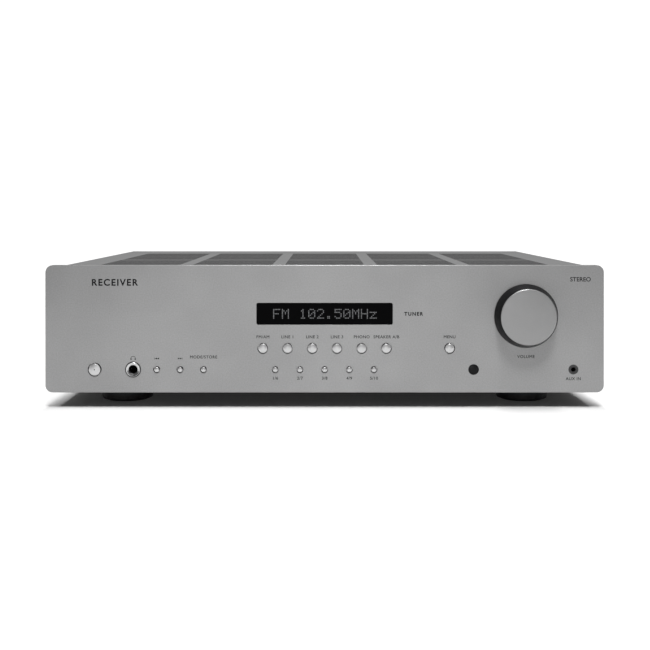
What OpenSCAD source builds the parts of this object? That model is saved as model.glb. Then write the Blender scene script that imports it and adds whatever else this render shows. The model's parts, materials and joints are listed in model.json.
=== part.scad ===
// Stereo receiver: a full-width hi-fi unit with a thick metal front panel, a slotted steel cover,
// a power amplifier, a radio tuner and a rear connection panel.
// Millimetres, +Z up, the front faces -Y. The origin is on the surface that the unit stands on,
// under the middle of its bounding box.

/* [Front panel] */
// Width of the front panel
panel_w = 430; // [400:1:520]
// Height of the front panel
panel_h = 98; // [94:1:130]
// Thickness of the front panel
panel_t = 6; // [5.5:0.5:9]
// Corner radius of the front panel, seen from the front
panel_r = 5.5; // [3:0.5:12]
// How far the front panel stands past the case on each side
panel_overhang = 9.5; // [6:0.5:14]
// Gap between the front panel and the surface
floor_gap = 12; // [9:0.5:20]

/* [Case] */
// Depth of the body, from the panel's face to the rear face
body_d = 305; // [290:1:380]
// Thickness of the top cover's sheet
cover_t = 1; // [0.8:0.1:1.5]
// Outer bend radius of the top cover
cover_bend_r = 5; // [3:0.5:8]
// How far the cover's top lies below the panel's top edge
cover_drop = 0.3; // [0.2:0.1:2]
// Height of the lip that the cover folds down over the rear panel
cover_lip = 10; // [8:1:14]
// Height of the case's underside above the panel's lower edge
case_lift = 2; // [1:0.5:5]
// Thickness of the base tray's sheet
tray_t = 1.2; // [1:0.1:2]
// Height of the base tray's side walls
tray_wall = 22; // [18:1:30]
// Thickness of the subchassis and of the rear panel
sheet_t = 1.2; // [1:0.1:1.6]
// Width of the flanges that stiffen the inner sheets
flange_w = 12; // [10:1:16]
// Clearance between the cover and the sheets inside it
sheet_gap = 0.3; // [0.2:0.1:1]

/* [Vents] */
// Number of vent blocks across the cover
vent_blocks = 5; // [3:2:5]
// Distance between the vent blocks' centres
vent_pitch = 72; // [64:1:74]
// Width of one vent block
vent_block_w = 62; // [40:1:62]
// Places for a slot in one block, front to back
vent_slots = 36; // [12:1:36]
// Which of those places stays plain, counted from the front
vent_plain = 14; // [2:1:35]
// Width of one slot, front to back
slot_w = 4.2; // [2:0.2:4.4]
// Distance from the panel's face to the front end of the vents
vent_start = 14; // [14:1:30]
// Distance from the panel's face to the rear end of the vents
vent_end = 239; // [225:1:270]

/* [Display] */
// Width of the display opening
display_w = 105; // [90:1:112]
// Height of the display opening
display_h = 16.9; // [14:0.1:20]
// Corner radius of the display opening
display_r = 1.5; // [1:0.5:3]
// Height of the display's centre above the panel's lower edge
display_up = 60.6; // [56:0.2:66]

/* [Buttons] */
// Radius of the standby button's hole
large_hole_r = 5.3; // [5:0.1:6]
// Radius of the source buttons' holes
medium_hole_r = 4.2; // [3.8:0.1:5.2]
// Radius of the preset and tuning buttons' holes
small_hole_r = 2.7; // [2.7:0.1:3.6]
// Gap between a button's cap and its hole
button_gap = 0.7; // [0.4:0.1:0.8]
// How far a button stands out of the panel
button_proud = 1.2; // [1:0.1:2]
// Travel of a button
button_travel = 0.8; // [0.4:0.1:1]
// Height of the upper row of buttons above the panel's lower edge
high_row_up = 34.1; // [30:0.1:37]
// Height of the lower row of buttons above the panel's lower edge
low_row_up = 17.7; // [17:0.1:20]
// Pitch of the source and preset buttons
source_pitch = 19; // [15:0.5:20]
// Pitch of the tuning buttons
tuning_pitch = 18; // [14:0.5:18]
// Distance from the panel's centre to the menu button
menu_x = 96.2; // [70:0.1:97]

/* [Volume knob] */
// Radius of the knob at its base
knob_r = 24.5; // [20:0.5:30]
// Radius of the knob's face
knob_face_r = 21.4; // [18:0.2:24]
// How far the knob stands out of the panel
knob_out = 13; // [11:0.5:20]
// Gap between the knob and the panel
knob_gap = 0.8; // [0.5:0.1:1.5]
// Radius of the volume control's shaft
shaft_r = 3; // [2.5:0.1:3]
// Distance from the panel's right edge to the knob's axis
knob_in = 60; // [50:1:80]
// Height of the knob's axis above the panel's lower edge
knob_up = 59; // [50:0.5:64]

/* [Front sockets] */
// Radius of the headphone socket's bore, for a 6.35 mm plug
phone_bore_r = 3.2; // [3.18:0.01:3.3]
// Radius of the auxiliary socket's bore, for a 3.5 mm plug
aux_bore_r = 1.8; // [1.76:0.01:1.9]
// Radius of the remote-control window
ir_r = 4.1; // [3:0.1:5]
// Distance from the panel's left edge to the standby button
standby_in = 38; // [30:1:44]
// Distance from the panel's left edge to the headphone socket
phone_in = 67.6; // [60:0.1:74]
// Distance from the panel's left edge to the first tuning button
tuning_in = 85.8; // [84:0.1:90]
// Distance from the panel's right edge to the remote-control window
ir_in = 100.3; // [90:0.1:110]
// Distance from the panel's right edge to the auxiliary socket
aux_in = 23.5; // [18:0.1:30]

/* [Rear terminals] */
// How far the speaker terminals stand out of the body
terminal_out = 22; // [20:0.5:30]
// Spacing of the speaker terminals, the width of a standard twin plug
terminal_pitch = 19; // [16:0.1:20]
// Radius of a speaker terminal's screw cap
cap_r = 7; // [6:0.1:8]
// Radius of a terminal's threaded post
post_r = 3; // [2.8:0.1:3.4]
// Radius of the 4 mm plug's bore in a post
plug_bore_r = 2.05; // [2.02:0.01:2.1]
// Outer radius of a phono socket
phono_r = 4.15; // [4.1:0.01:4.3]
// Pitch of the phono sockets
phono_pitch = 18; // [14:0.5:19]
// Outer radius of the aerial socket
aerial_r = 4.75; // [4.5:0.05:5]
// Running clearance around shafts, stems and posts
running = 0.06; // [0.02:0.01:0.1]

/* [Feet] */
// Radius of a foot where it meets the case
foot_r = 22; // [16:0.5:28]
// Radius of the rubber pad under a foot
pad_r = 17; // [12:0.5:20]
// Distance between the feet, left to right
foot_span_x = 320; // [280:1:340]
// Distance between the feet, front to back
foot_span_y = 220; // [180:1:240]

/* [Inside] */
// Radius of the toroidal transformer
toroid_r = 60; // [45:1:62]
// Height of the toroidal transformer
toroid_h = 52; // [40:1:56]
// Length of the heatsink
sink_w = 140; // [110:1:150]
// Height of the heatsink
sink_h = 66; // [50:1:68]
// Height of the boards above the base tray
standoff_h = 8; // [6:0.5:10]
// Thickness of the circuit boards
board_t = 1.6; // [1.2:0.1:2]

/* [Hidden] */
$fn = 64;
eps = 0.5;

// Places along Y, front to back
depth_all = knob_out + body_d + terminal_out;
front_y = knob_out - depth_all / 2;
panel_back_y = front_y + panel_t;
sub_back_y = panel_back_y + sheet_t;
back_y = front_y + body_d;
rear_out_y = back_y - cover_t;
rear_in_y = rear_out_y - sheet_t;

// Places along Z
panel_mid_z = floor_gap + panel_h / 2;
case_z = floor_gap + case_lift;
tray_top_z = case_z + tray_t;
cover_top_z = floor_gap + panel_h - cover_drop;
sheet_top_z = cover_top_z - cover_t - sheet_gap;
board_z = tray_top_z + standoff_h;
board_top_z = board_z + board_t;
display_z = floor_gap + display_up;
high_row_z = floor_gap + high_row_up;
low_row_z = floor_gap + low_row_up;
knob_z = floor_gap + knob_up;

// Places along X
case_w = panel_w - 2 * panel_overhang;
sheet_w = case_w - 2 * (cover_t + sheet_gap);
left_x = -panel_w / 2;
right_x = panel_w / 2;
knob_x = right_x - knob_in;
phone_x = left_x + phone_in;
ir_x = right_x - ir_in;
aux_x = right_x - aux_in;

// Front controls
hole_r = [large_hole_r, medium_hole_r, small_hole_r];
stem_r = [2, 1.6, 1.2];
LARGE = 0;
MEDIUM = 1;
SMALL = 2;
SOURCE_NAMES = ["tuner_button", "input_1_button", "input_2_button", "input_3_button",
    "phono_button", "speaker_select_button"];
TUNING_NAMES = ["skip_back_button", "skip_forward_button", "mode_store_button"];
PRESETS = 5;
BUTTONS = concat(
    [["standby_button", left_x + standby_in, low_row_z, LARGE]],
    [["menu_button", menu_x, high_row_z, MEDIUM]],
    [for (i = [0:5]) [SOURCE_NAMES[i], (i - 2.5) * source_pitch, high_row_z, MEDIUM]],
    [for (i = [0:2]) [TUNING_NAMES[i], left_x + tuning_in + i * tuning_pitch, low_row_z, SMALL]],
    [for (i = [1:PRESETS]) [str("preset_", i, "_button"),
        (i - (PRESETS + 1) / 2) * source_pitch, low_row_z, SMALL]]);
pocket_d = 3;
pocket_wall = 1.5;
flange_t = 1;
flange_gap = 0.2;
flange_y = panel_back_y - pocket_d + flange_gap;
dome_h = 0.45;
switch_h = 3.5;
plunger_h = 0.7;
key_board_y = sub_back_y + standoff_h;
plunger_y = key_board_y - switch_h - plunger_h;
stem_end_y = plunger_y - button_travel - 0.1;
key_board_x = [left_x + standby_in - 9, ir_x + 12];
key_board_z = [low_row_z - 9, display_z - 16];

// Window and display behind it
rebate = 3;
rebate_d = 2.5;
window_inset = 0.3;
window_gap = 0.1;
glass_t = 5;

// Volume control
bush_r = 4.5;
bush_gap = 0.1;
nut_flats = 12;
nut_t = 2.2;
control_hole_r = 8;
encoder_w = 13;
encoder_t = 8;
shaft_flat = 0.8;
knob_back_y = front_y - knob_gap;
knob_front_y = front_y - knob_out;

// Headphone and auxiliary sockets
phone_barrel_r = 4.4;
phone_nut_r = 5.2;
phone_hole_r = 5.5;
phone_body = [15, 30, 15];
aux_collar_r = 3.8;
aux_body = [9, 13, 9];

// Rear terminals: [name, column, row], columns from the left as seen from the front
CAPS = [for (row = [0:1], column = [0:3])
    [str("speaker_", row == 0 ? "a" : "b", "_", column < 2 ? "left" : "right",
        column % 2 == 0 ? "_plus" : "_minus", "_cap"), column, row]];
collar_h = 3;
post_len = terminal_out - 2;
cap_end = 1.4;
speaker_x = -case_w / 2 + 110;
speaker_low_z = case_z + 25;
speaker_rise = 30;
phono_columns = 6;
phono_x = speaker_x + 3 * terminal_pitch + 32;
phono_low_z = case_z + 28;
phono_rise = 19;
phono_len = 9.5;
phono_body = [15, 12, 36];
digital_x = phono_x + phono_columns * phono_pitch + 3;
optical_w = 11;
optical_hole = 8;
ground_z = phono_low_z + 2 * phono_rise + 3;
ground_post_r = 2;
ground_nut_r = 4.5;
ground_out = 12;
aerial_x = case_w / 2 - 40;
aerial_z = case_z + 38;
aerial_len = 10;
am_z = aerial_z + 29;
am_w = 26;
am_h = 15;
am_out = 9;
lever_w = 8;
lever_len = 11;
lever_t = 1.8;
lever_pin_r = 0.9;
lever_tilt = 8;
LEVERS = [["am_aerial_lever", -1], ["am_ground_lever", 1]];

// Mains inlet and switch
mains_x = -case_w / 2 + 36;
mains_z = case_z + 32;
inlet_w = 24.5;
inlet_h = 16.8;
inlet_d = 16;
switch_x = mains_x + 37;
rocker_w = 14;
rocker_r = 10.6;
rocker_rest = 9;
rocker_pin_r = 1.4;
rocker_pivot_y = rear_out_y - 2.5;
rocker_gap = 0.4;

// Inside
toroid_x = -case_w / 2 + 12 + toroid_r;
toroid_y = panel_back_y + 42 + toroid_r;
toroid_pad = 2;
toroid_hole = 18;
clamp_r = 42;
clamp_t = 2;
bolt_r = 4;
amp_x = [toroid_x + toroid_r + 14, toroid_x + toroid_r + 34 + sink_w];
amp_y = [panel_back_y + 40, panel_back_y + 210];
amp_mid_x = (amp_x[0] + amp_x[1]) / 2;
sink_y = amp_y[0] + 86;
sink_base = 7;
sink_fin = 34;
sink_fins = 15;
sink_fin_t = 1.8;
device_w = 16;
device_h = 20;
device_t = 5;
devices = 4;
can_r = 17.5;
can_h = 42;
input_x = [phono_x - 10, digital_x + phono_pitch + 9];
input_y = [rear_in_y - 62, rear_in_y];
input_z = phono_low_z - 12;
tuner_box = [46, 56, 18];
FEET = [for (sx = [-1, 1], sy = [-1, 1]) [sx * foot_span_x / 2, sy * foot_span_y / 2]];
pad_t = 3;
pad_proud = 1;
SCREWS_Y = [panel_back_y + 70, back_y - 60];
SCREWS_X = [-sheet_w / 3, 0, sheet_w / 3];
side_screw_z = case_z + 12;
rear_screw_z = cover_top_z - cover_lip / 2 - 0.5;
screw_r = 1.5;
screw_head_r = 3.4;
screw_head_h = 2;
screw_gap = 0.15;

STATIC = ["front_panel", "front_subchassis", "display_window", "display_module", "key_board",
    "key_switches", "ir_window", "headphone_socket", "headphone_nut", "aux_socket",
    "volume_encoder", "base_tray", "rear_panel", "top_cover", "feet", "foot_pads", "case_screws",
    "toroidal_transformer", "transformer_clamp", "mains_inlet", "heatsink", "power_transistors",
    "amplifier_board", "board_components", "input_board", "phono_sockets", "digital_sockets",
    "tuner_module", "aerial_block", "terminal_posts"];
MOVING = ["volume_knob", "encoder_shaft", "mains_rocker", "ground_thumb_nut"];

// ---- Helpers ----

// Extrudes a 2D outline, drawn in X and Z, from y0 back to y1
module plate_xz(y0, y1) translate([0, y1, 0]) rotate([90, 0, 0]) linear_extrude(y1 - y0) children();

// A round bar along Y
module rod_y(x, z, r, y0, y1) translate([x, y1, z]) rotate([90, 0, 0]) cylinder(r = r, h = y1 - y0);

// A block given by two opposite corners
module block(low, high) translate(low) cube(high - low);

// A rectangle with round corners, centred
module rounded(w, h, r) {
    square([w - 2 * r, h], center = true);
    square([w, h - 2 * r], center = true);
    for (sx = [-1, 1], sz = [-1, 1]) translate([sx * (w / 2 - r), sz * (h / 2 - r)]) circle(r);
}

// A rectangle standing on the X axis, with round upper corners
module arch(w, h, r) {
    translate([-w / 2, 0]) square([w, h - r]);
    translate([r - w / 2, 0]) square([w - 2 * r, h]);
    for (sx = [-1, 1]) translate([sx * (w / 2 - r), h - r]) circle(r);
}

// The outline of an upright sheet that fits inside the cover
module sheet_outline() translate([0, case_z])
    arch(sheet_w, sheet_top_z - case_z, cover_bend_r - cover_t);

// ---- Front ----

module front_panel() color("silver") difference() {
    plate_xz(front_y, panel_back_y) translate([0, panel_mid_z]) rounded(panel_w, panel_h, panel_r);
    plate_xz(front_y - eps, panel_back_y + eps)
        translate([0, display_z]) rounded(display_w, display_h, display_r);
    plate_xz(panel_back_y - rebate_d, panel_back_y + eps) translate([0, display_z])
        square([display_w + 2 * rebate, display_h + 2 * rebate], center = true);
    for (b = BUTTONS) {
        r = hole_r[b[3]];
        rod_y(b[1], b[2], r, front_y - eps, panel_back_y + eps);
        rod_y(b[1], b[2], r + pocket_wall, panel_back_y - pocket_d, panel_back_y + eps);
    }
    rod_y(knob_x, knob_z, control_hole_r, front_y - eps, panel_back_y + eps);
    rod_y(phone_x, low_row_z, phone_hole_r, front_y - eps, panel_back_y + eps);
    rod_y(aux_x, low_row_z, aux_collar_r, front_y - eps, panel_back_y + eps);
    rod_y(ir_x, low_row_z, ir_r, front_y - eps, panel_back_y + eps);
    rod_y(ir_x, low_row_z, ir_r + pocket_wall, panel_back_y - pocket_d, panel_back_y + eps);
}

module front_subchassis() color("dimgray") difference() {
    union() {
        plate_xz(panel_back_y, sub_back_y) sheet_outline();
        block([-sheet_w / 2 + 6, sub_back_y, sheet_top_z - sheet_t],
            [sheet_w / 2 - 6, sub_back_y + flange_w, sheet_top_z]);
        for (x = key_board_x + [4, -4], z = key_board_z + [4, -4])
            rod_y(x, z, 2.5, sub_back_y, key_board_y);
    }
    plate_xz(panel_back_y - eps, sub_back_y + eps) translate([0, display_z])
        square([display_w, display_h + 4], center = true);
    for (b = BUTTONS)
        rod_y(b[1], b[2], stem_r[b[3]] + running, panel_back_y - eps, sub_back_y + eps);
    rod_y(knob_x, knob_z, bush_r + bush_gap, panel_back_y - eps, sub_back_y + eps);
    rod_y(phone_x, low_row_z, phone_barrel_r + bush_gap, panel_back_y - eps, sub_back_y + eps);
    rod_y(aux_x, low_row_z, aux_collar_r, panel_back_y - eps, sub_back_y + eps);
    rod_y(ir_x, low_row_z, ir_r, panel_back_y - eps, sub_back_y + eps);
}

module display_window() color("black") {
    plate_xz(front_y + window_inset, panel_back_y) translate([0, display_z])
        rounded(display_w - 2 * window_gap, display_h - 2 * window_gap, display_r - window_gap);
    plate_xz(panel_back_y - rebate_d, panel_back_y) translate([0, display_z])
        square([display_w + 2 * rebate, display_h + 2 * rebate] - 2 * [window_gap, window_gap],
            center = true);
}

module display_module() {
    glass = [display_w - 3, display_h + 3];
    color("darkslategray") plate_xz(panel_back_y, panel_back_y + glass_t)
        translate([0, display_z]) square(glass, center = true);
    color("darkgreen") plate_xz(panel_back_y + glass_t, panel_back_y + glass_t + board_t)
        translate([0, display_z]) square(glass + [14, 8], center = true);
}

module key_board() color("darkgreen") difference() {
    block([key_board_x[0], key_board_y, key_board_z[0]],
        [key_board_x[1], key_board_y + board_t, key_board_z[1]]);
    translate([phone_x, key_board_y, low_row_z])
        cube([phone_body[0] + 1, 4 * board_t, phone_body[2] + 1], center = true);
}

module key_switches() color("black") {
    for (b = BUTTONS) {
        translate([b[1] - 3, key_board_y - switch_h, b[2] - 3]) cube([6, switch_h, 6]);
        rod_y(b[1], b[2], 1.7, plunger_y, key_board_y - switch_h);
    }
    translate([ir_x - 3, key_board_y - 6, low_row_z - 4]) cube([6, 6, 8]);
}

module ir_window() color("black") {
    rod_y(ir_x, low_row_z, ir_r, front_y + window_inset, panel_back_y - pocket_d);
    rod_y(ir_x, low_row_z, ir_r + pocket_wall, panel_back_y - pocket_d, panel_back_y);
}

module headphone_socket() color("black") difference() {
    union() {
        rod_y(phone_x, low_row_z, phone_barrel_r, front_y + 0.2, sub_back_y + eps);
        translate([phone_x - phone_body[0] / 2, sub_back_y, low_row_z - phone_body[2] / 2])
            cube(phone_body);
    }
    rod_y(phone_x, low_row_z, phone_bore_r, front_y - eps, sub_back_y + phone_body[1] - 2);
}

module headphone_nut() color("silver") difference() {
    union() {
        rod_y(phone_x, low_row_z, phone_nut_r, front_y - 0.8, panel_back_y);
        rod_y(phone_x, low_row_z, phone_hole_r + 0.6, front_y - 0.5, front_y);
    }
    rod_y(phone_x, low_row_z, phone_barrel_r, front_y + 0.2, panel_back_y + eps);
    translate([phone_x, front_y - 0.8, low_row_z]) rotate([-90, 0, 0])
        cylinder(r1 = phone_bore_r + 1.1, r2 = phone_bore_r + 0.3, h = 1);
}

module aux_socket() color("black") difference() {
    union() {
        rod_y(aux_x, low_row_z, aux_collar_r, front_y + 0.1, sub_back_y + eps);
        translate([aux_x - aux_body[0] / 2, sub_back_y, low_row_z - aux_body[2] / 2])
            cube(aux_body);
    }
    rod_y(aux_x, low_row_z, aux_bore_r, front_y - eps, sub_back_y + aux_body[1] - 2);
}

// Every button: a domed cap, a flange that the panel holds back and a stem that presses a switch
module button(b) color("gainsboro") translate([b[1], 0, b[2]]) {
    r = hole_r[b[3]] - button_gap;
    dome_r = (r * r + dome_h * dome_h) / (2 * dome_h);
    tip_y = front_y - button_proud;
    intersection() {
        rod_y(0, 0, r, tip_y, flange_y);
        translate([0, tip_y + dome_r, 0]) sphere(dome_r);
    }
    rod_y(0, 0, hole_r[b[3]] + pocket_wall - 0.3, flange_y, flange_y + flange_t);
    rod_y(0, 0, stem_r[b[3]], flange_y + flange_t, stem_end_y);
}

// ---- Volume control ----

module volume_encoder() color("dimgray") difference() {
    union() {
        translate([knob_x - encoder_w / 2, sub_back_y, knob_z - encoder_w / 2])
            cube([encoder_w, encoder_t, encoder_w]);
        rod_y(knob_x, knob_z, bush_r, front_y + 0.5, sub_back_y + eps);
        translate([knob_x, panel_back_y, knob_z]) rotate([90, 0, 0])
            cylinder(r = nut_flats / 2 / cos(30), h = nut_t, $fn = 6);
    }
    rod_y(knob_x, knob_z, shaft_r + running, front_y - eps, sub_back_y + encoder_t - 2);
}

// The stepped part of a shaft with a flat on its upper side
module flatted_rod(r, y0, y1) difference() {
    rod_y(knob_x, knob_z, r, y0, y1);
    block([knob_x - r - 1, y0 - 1, knob_z + shaft_r - shaft_flat],
        [knob_x + r + 1, y1 + 1, knob_z + r + 2]);
}

module encoder_shaft() color("silver") {
    rod_y(knob_x, knob_z, shaft_r, knob_back_y, sub_back_y + encoder_t - 2.5);
    flatted_rod(shaft_r, knob_front_y + 3, knob_back_y);
}

module volume_knob() color("silver") difference() {
    translate([knob_x, knob_back_y, knob_z]) rotate([90, 0, 0]) rotate_extrude()
        polygon(let (h = knob_back_y - knob_front_y, hub = shaft_r + 3.5, shell = 3) [
            [0, 4], [hub, 4], [hub, 1], [hub + 2, h - shell - 1], [knob_face_r - 4, h - shell - 1],
            [knob_r - shell, 0], [knob_r, 0], [knob_r, 0.8], [knob_face_r + 0.5, h - 0.5],
            [knob_face_r, h], [0, h]]);
    flatted_rod(shaft_r, knob_front_y + 3, knob_back_y + eps);
}

// ---- Case ----

module top_cover() color("gray") {
    h = cover_top_z - case_z;
    pitch = (vent_end - vent_start - slot_w) / (vent_slots - 1);
    difference() {
        plate_xz(panel_back_y, back_y) translate([0, case_z]) arch(case_w, h, cover_bend_r);
        plate_xz(panel_back_y - eps, rear_out_y) translate([0, case_z - eps])
            arch(case_w - 2 * cover_t, h - cover_t + eps, cover_bend_r - cover_t);
        block([cover_t - case_w / 2, rear_out_y - eps, case_z - eps],
            [case_w / 2 - cover_t, back_y + eps, cover_top_z - cover_lip]);
        for (i = [0:vent_blocks - 1], k = [0:vent_slots - 1]) if (k != vent_plain - 1)
            translate([(i - (vent_blocks - 1) / 2) * vent_pitch - vent_block_w / 2,
                front_y + vent_start + k * pitch, cover_top_z - cover_t - eps])
                cube([vent_block_w, slot_w, cover_t + 2 * eps]);
        for (y = SCREWS_Y) translate([0, y, side_screw_z]) rotate([0, 90, 0])
            cylinder(r = screw_r + screw_gap, h = case_w + 2, center = true);
        for (x = SCREWS_X)
            rod_y(x, rear_screw_z, screw_r + screw_gap, rear_out_y - eps, back_y + eps);
    }
}

// A row of slots in the tray's floor, centred on a point
module tray_vents(x, y, count) for (i = [0:count - 1])
    translate([x + (i - (count - 1) / 2) * 9 - 2, y - 30, case_z - eps]) cube([4, 60, tray_t + 2 * eps]);

module base_tray() color("gray") difference() {
    union() {
        block([-sheet_w / 2, sub_back_y, case_z], [sheet_w / 2, rear_in_y, tray_top_z]);
        for (s = [-1, 1]) translate([s * (sheet_w - tray_t) / 2, 0, 0])
            block([-tray_t / 2, sub_back_y, case_z], [tray_t / 2, rear_in_y, case_z + tray_wall]);
        block([-sheet_w / 2, rear_in_y - tray_t, case_z], [sheet_w / 2, rear_in_y, case_z + flange_w]);
        for (x = amp_x + [6, -6], y = amp_y + [6, -6])
            translate([x, y, tray_top_z - eps]) cylinder(r = 3, h = standoff_h + eps);
        for (x = input_x + [6, -6])
            translate([x, input_y[0] + 6, tray_top_z - eps])
                cylinder(r = 3, h = input_z - tray_top_z + eps);
    }
    for (s = [-1, 1]) tray_vents(amp_mid_x, sink_y + s * 34, 14);
    translate([toroid_x, toroid_y, case_z - eps]) cylinder(r = bolt_r + 0.2, h = tray_t + 2 * eps);
    for (y = SCREWS_Y) translate([0, y, side_screw_z]) rotate([0, 90, 0])
        cylinder(r = screw_r + screw_gap, h = case_w, center = true);
}

module rear_panel() color("dimgray") difference() {
    union() {
        plate_xz(rear_in_y, rear_out_y) sheet_outline();
        block([-sheet_w / 2 + 6, rear_in_y - flange_w, sheet_top_z - sheet_t],
            [sheet_w / 2 - 6, rear_in_y, sheet_top_z]);
    }
    plate_xz(rear_in_y - eps, rear_out_y + eps) {
        translate([mains_x, mains_z]) square([inlet_w + 3, inlet_h + 3], center = true);
        translate([switch_x, mains_z])
            square([rocker_w + 5, 2 * rocker_r + 5], center = true);
        translate([aerial_x, am_z]) square([am_w, am_h], center = true);
        for (x = [0, phono_pitch])
            translate([digital_x + x, phono_low_z + phono_rise]) square(optical_w, center = true);
    }
    for (c = CAPS)
        rod_y(speaker_x + c[1] * terminal_pitch, speaker_low_z + (1 - c[2]) * speaker_rise,
            post_r + 1.5, rear_in_y - eps, rear_out_y + eps);
    for (i = [0:phono_columns - 1], j = [0, 1])
        rod_y(phono_x + i * phono_pitch, phono_low_z + j * phono_rise, phono_r + 0.4,
            rear_in_y - eps, rear_out_y + eps);
    rod_y(digital_x, phono_low_z, phono_r + 0.4, rear_in_y - eps, rear_out_y + eps);
    rod_y(phono_x, ground_z, ground_post_r, rear_in_y - eps, rear_out_y + eps);
    rod_y(aerial_x, aerial_z, aerial_r + 0.3, rear_in_y - eps, rear_out_y + eps);
    for (x = SCREWS_X)
        rod_y(x, rear_screw_z, screw_r + screw_gap, rear_in_y - eps, rear_out_y + eps);
}

module feet() color("black") for (f = FEET) translate([f[0], f[1], 0]) difference() {
    translate([0, 0, pad_proud])
        cylinder(r1 = foot_r - 2, r2 = foot_r, h = case_z - pad_proud);
    translate([0, 0, pad_proud - eps]) cylinder(r = pad_r, h = pad_t - pad_proud + eps);
}

module foot_pads() color("dimgray") for (f = FEET)
    translate([f[0], f[1], 0]) cylinder(r = pad_r, h = pad_t);

// A round-headed screw pointing along -Z, with the underside of its head at the origin
module screw(len) {
    intersection() {
        cylinder(r = screw_head_r, h = screw_head_h);
        translate([0, 0, screw_head_h - 4.2]) sphere(4.2);
    }
    translate([0, 0, -len]) cylinder(r = screw_r, h = len);
}

module case_screws() color("black") {
    for (y = SCREWS_Y, s = [-1, 1])
        translate([s * case_w / 2, y, side_screw_z]) rotate([0, s * 90, 0]) screw(5);
    for (x = SCREWS_X) translate([x, back_y, rear_screw_z]) rotate([-90, 0, 0]) screw(5);
}

// ---- Rear sockets and terminals ----

module mains_inlet() color("black") {
    y0 = rear_in_y - inlet_d - 4;
    difference() {
        union() {
            block([mains_x - inlet_w / 2 - 1.5, y0, mains_z - inlet_h / 2 - 1.5],
                [mains_x + inlet_w / 2 + 1.5, rear_out_y, mains_z + inlet_h / 2 + 1.5]);
            plate_xz(rear_out_y, rear_out_y + 2.5) translate([mains_x, mains_z])
                rounded(inlet_w + 9, inlet_h + 9, 3);
        }
        plate_xz(rear_out_y + 2.5 - inlet_d, rear_out_y + 4) translate([mains_x, mains_z])
            polygon(let (w = inlet_w / 2, h = inlet_h / 2)
                [[-w, -h], [w, -h], [w, h - 4], [w - 4, h], [4 - w, h], [-w, h - 4]]);
    }
    for (p = [[-7, -1], [7, -1], [0, 3]])
        block([mains_x + p[0] - 1, rear_out_y + 2.5 - inlet_d - eps, mains_z + p[1] - 2],
            [mains_x + p[0] + 1, rear_out_y - 1, mains_z + p[1] + 2]);
    difference() {
        union() {
            block([switch_x - rocker_w / 2 - 2.5, rear_in_y - 14, mains_z - rocker_r - 2.5],
                [switch_x + rocker_w / 2 + 2.5, rear_out_y, mains_z + rocker_r + 2.5]);
            plate_xz(rear_out_y, rear_out_y + 2) translate([switch_x, mains_z])
                rounded(rocker_w + 8, 2 * rocker_r + 8, 2);
        }
        block([switch_x - rocker_w / 2 - rocker_gap, rocker_pivot_y - 9, mains_z - rocker_r - rocker_gap],
            [switch_x + rocker_w / 2 + rocker_gap, rear_out_y + 4, mains_z + rocker_r + rocker_gap]);
        translate([switch_x, rocker_pivot_y, mains_z]) rotate([0, 90, 0])
            cylinder(r = rocker_pin_r + running, h = rocker_w + 4, center = true);
    }
}

// A rocker with two faces that meet at a shallow angle, drawn with its upper half pressed in
module mains_rocker() color("black") translate([switch_x, rocker_pivot_y, mains_z])
    rotate([rocker_rest, 0, 0]) {
        rotate([90, 0, 90]) translate([0, 0, -rocker_w / 2]) linear_extrude(rocker_w)
            intersection() {
                circle(rocker_r);
                polygon(let (rise = 12 * tan(rocker_rest))
                    [[-2, -12], [6 + rise, -12], [6, 0], [6 + rise, 12], [-2, 12]]);
            }
        rotate([0, 90, 0]) cylinder(r = rocker_pin_r, h = rocker_w + 3, center = true);
    }

module phono_socket(x, z) difference() {
    union() {
        rod_y(x, z, phono_r + 1.4, rear_out_y, rear_out_y + 1.2);
        rod_y(x, z, phono_r, rear_in_y, rear_out_y + phono_len);
    }
    rod_y(x, z, 1.6, rear_out_y - 1, rear_out_y + phono_len + eps);
}

module phono_sockets() color("gainsboro") for (i = [0:phono_columns - 1]) {
    x = phono_x + i * phono_pitch;
    for (j = [0, 1]) phono_socket(x, phono_low_z + j * phono_rise);
    translate([x - phono_body[0] / 2, rear_in_y - phono_body[1], input_z + board_t])
        cube(phono_body);
}

module digital_sockets() color("black") {
    phono_socket(digital_x, phono_low_z);
    translate([digital_x - phono_body[0] / 2, rear_in_y - phono_body[1], input_z + board_t])
        cube([phono_body[0], phono_body[1], phono_rise]);
    for (x = [digital_x, digital_x + phono_pitch]) difference() {
        translate([x, 0, phono_low_z + phono_rise]) union() {
            block([-optical_w / 2, rear_in_y, -optical_w / 2],
                [optical_w / 2, rear_out_y + 1, optical_w / 2]);
            block([-optical_w / 2, rear_in_y - phono_body[1], -optical_w / 2 + 1.5],
                [optical_w / 2, rear_in_y, optical_w / 2]);
        }
        translate([x, 0, phono_low_z + phono_rise]) block(
            [-optical_hole / 2, rear_out_y - 7, -optical_hole / 2],
            [optical_hole / 2, rear_out_y + 2, optical_hole / 2]);
    }
}

module tuner_module() color("silver") {
    block([aerial_x - tuner_box[0] / 2, rear_in_y - tuner_box[1], aerial_z - tuner_box[2] / 2],
        [aerial_x + tuner_box[0] / 2, rear_in_y, aerial_z + tuner_box[2] / 2]);
    difference() {
        union() {
            rod_y(aerial_x, aerial_z, aerial_r + 2, rear_out_y, rear_out_y + 1.5);
            rod_y(aerial_x, aerial_z, aerial_r, rear_in_y, rear_out_y + aerial_len);
        }
        rod_y(aerial_x, aerial_z, 1, rear_out_y + 2, rear_out_y + aerial_len + eps);
    }
}

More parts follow.
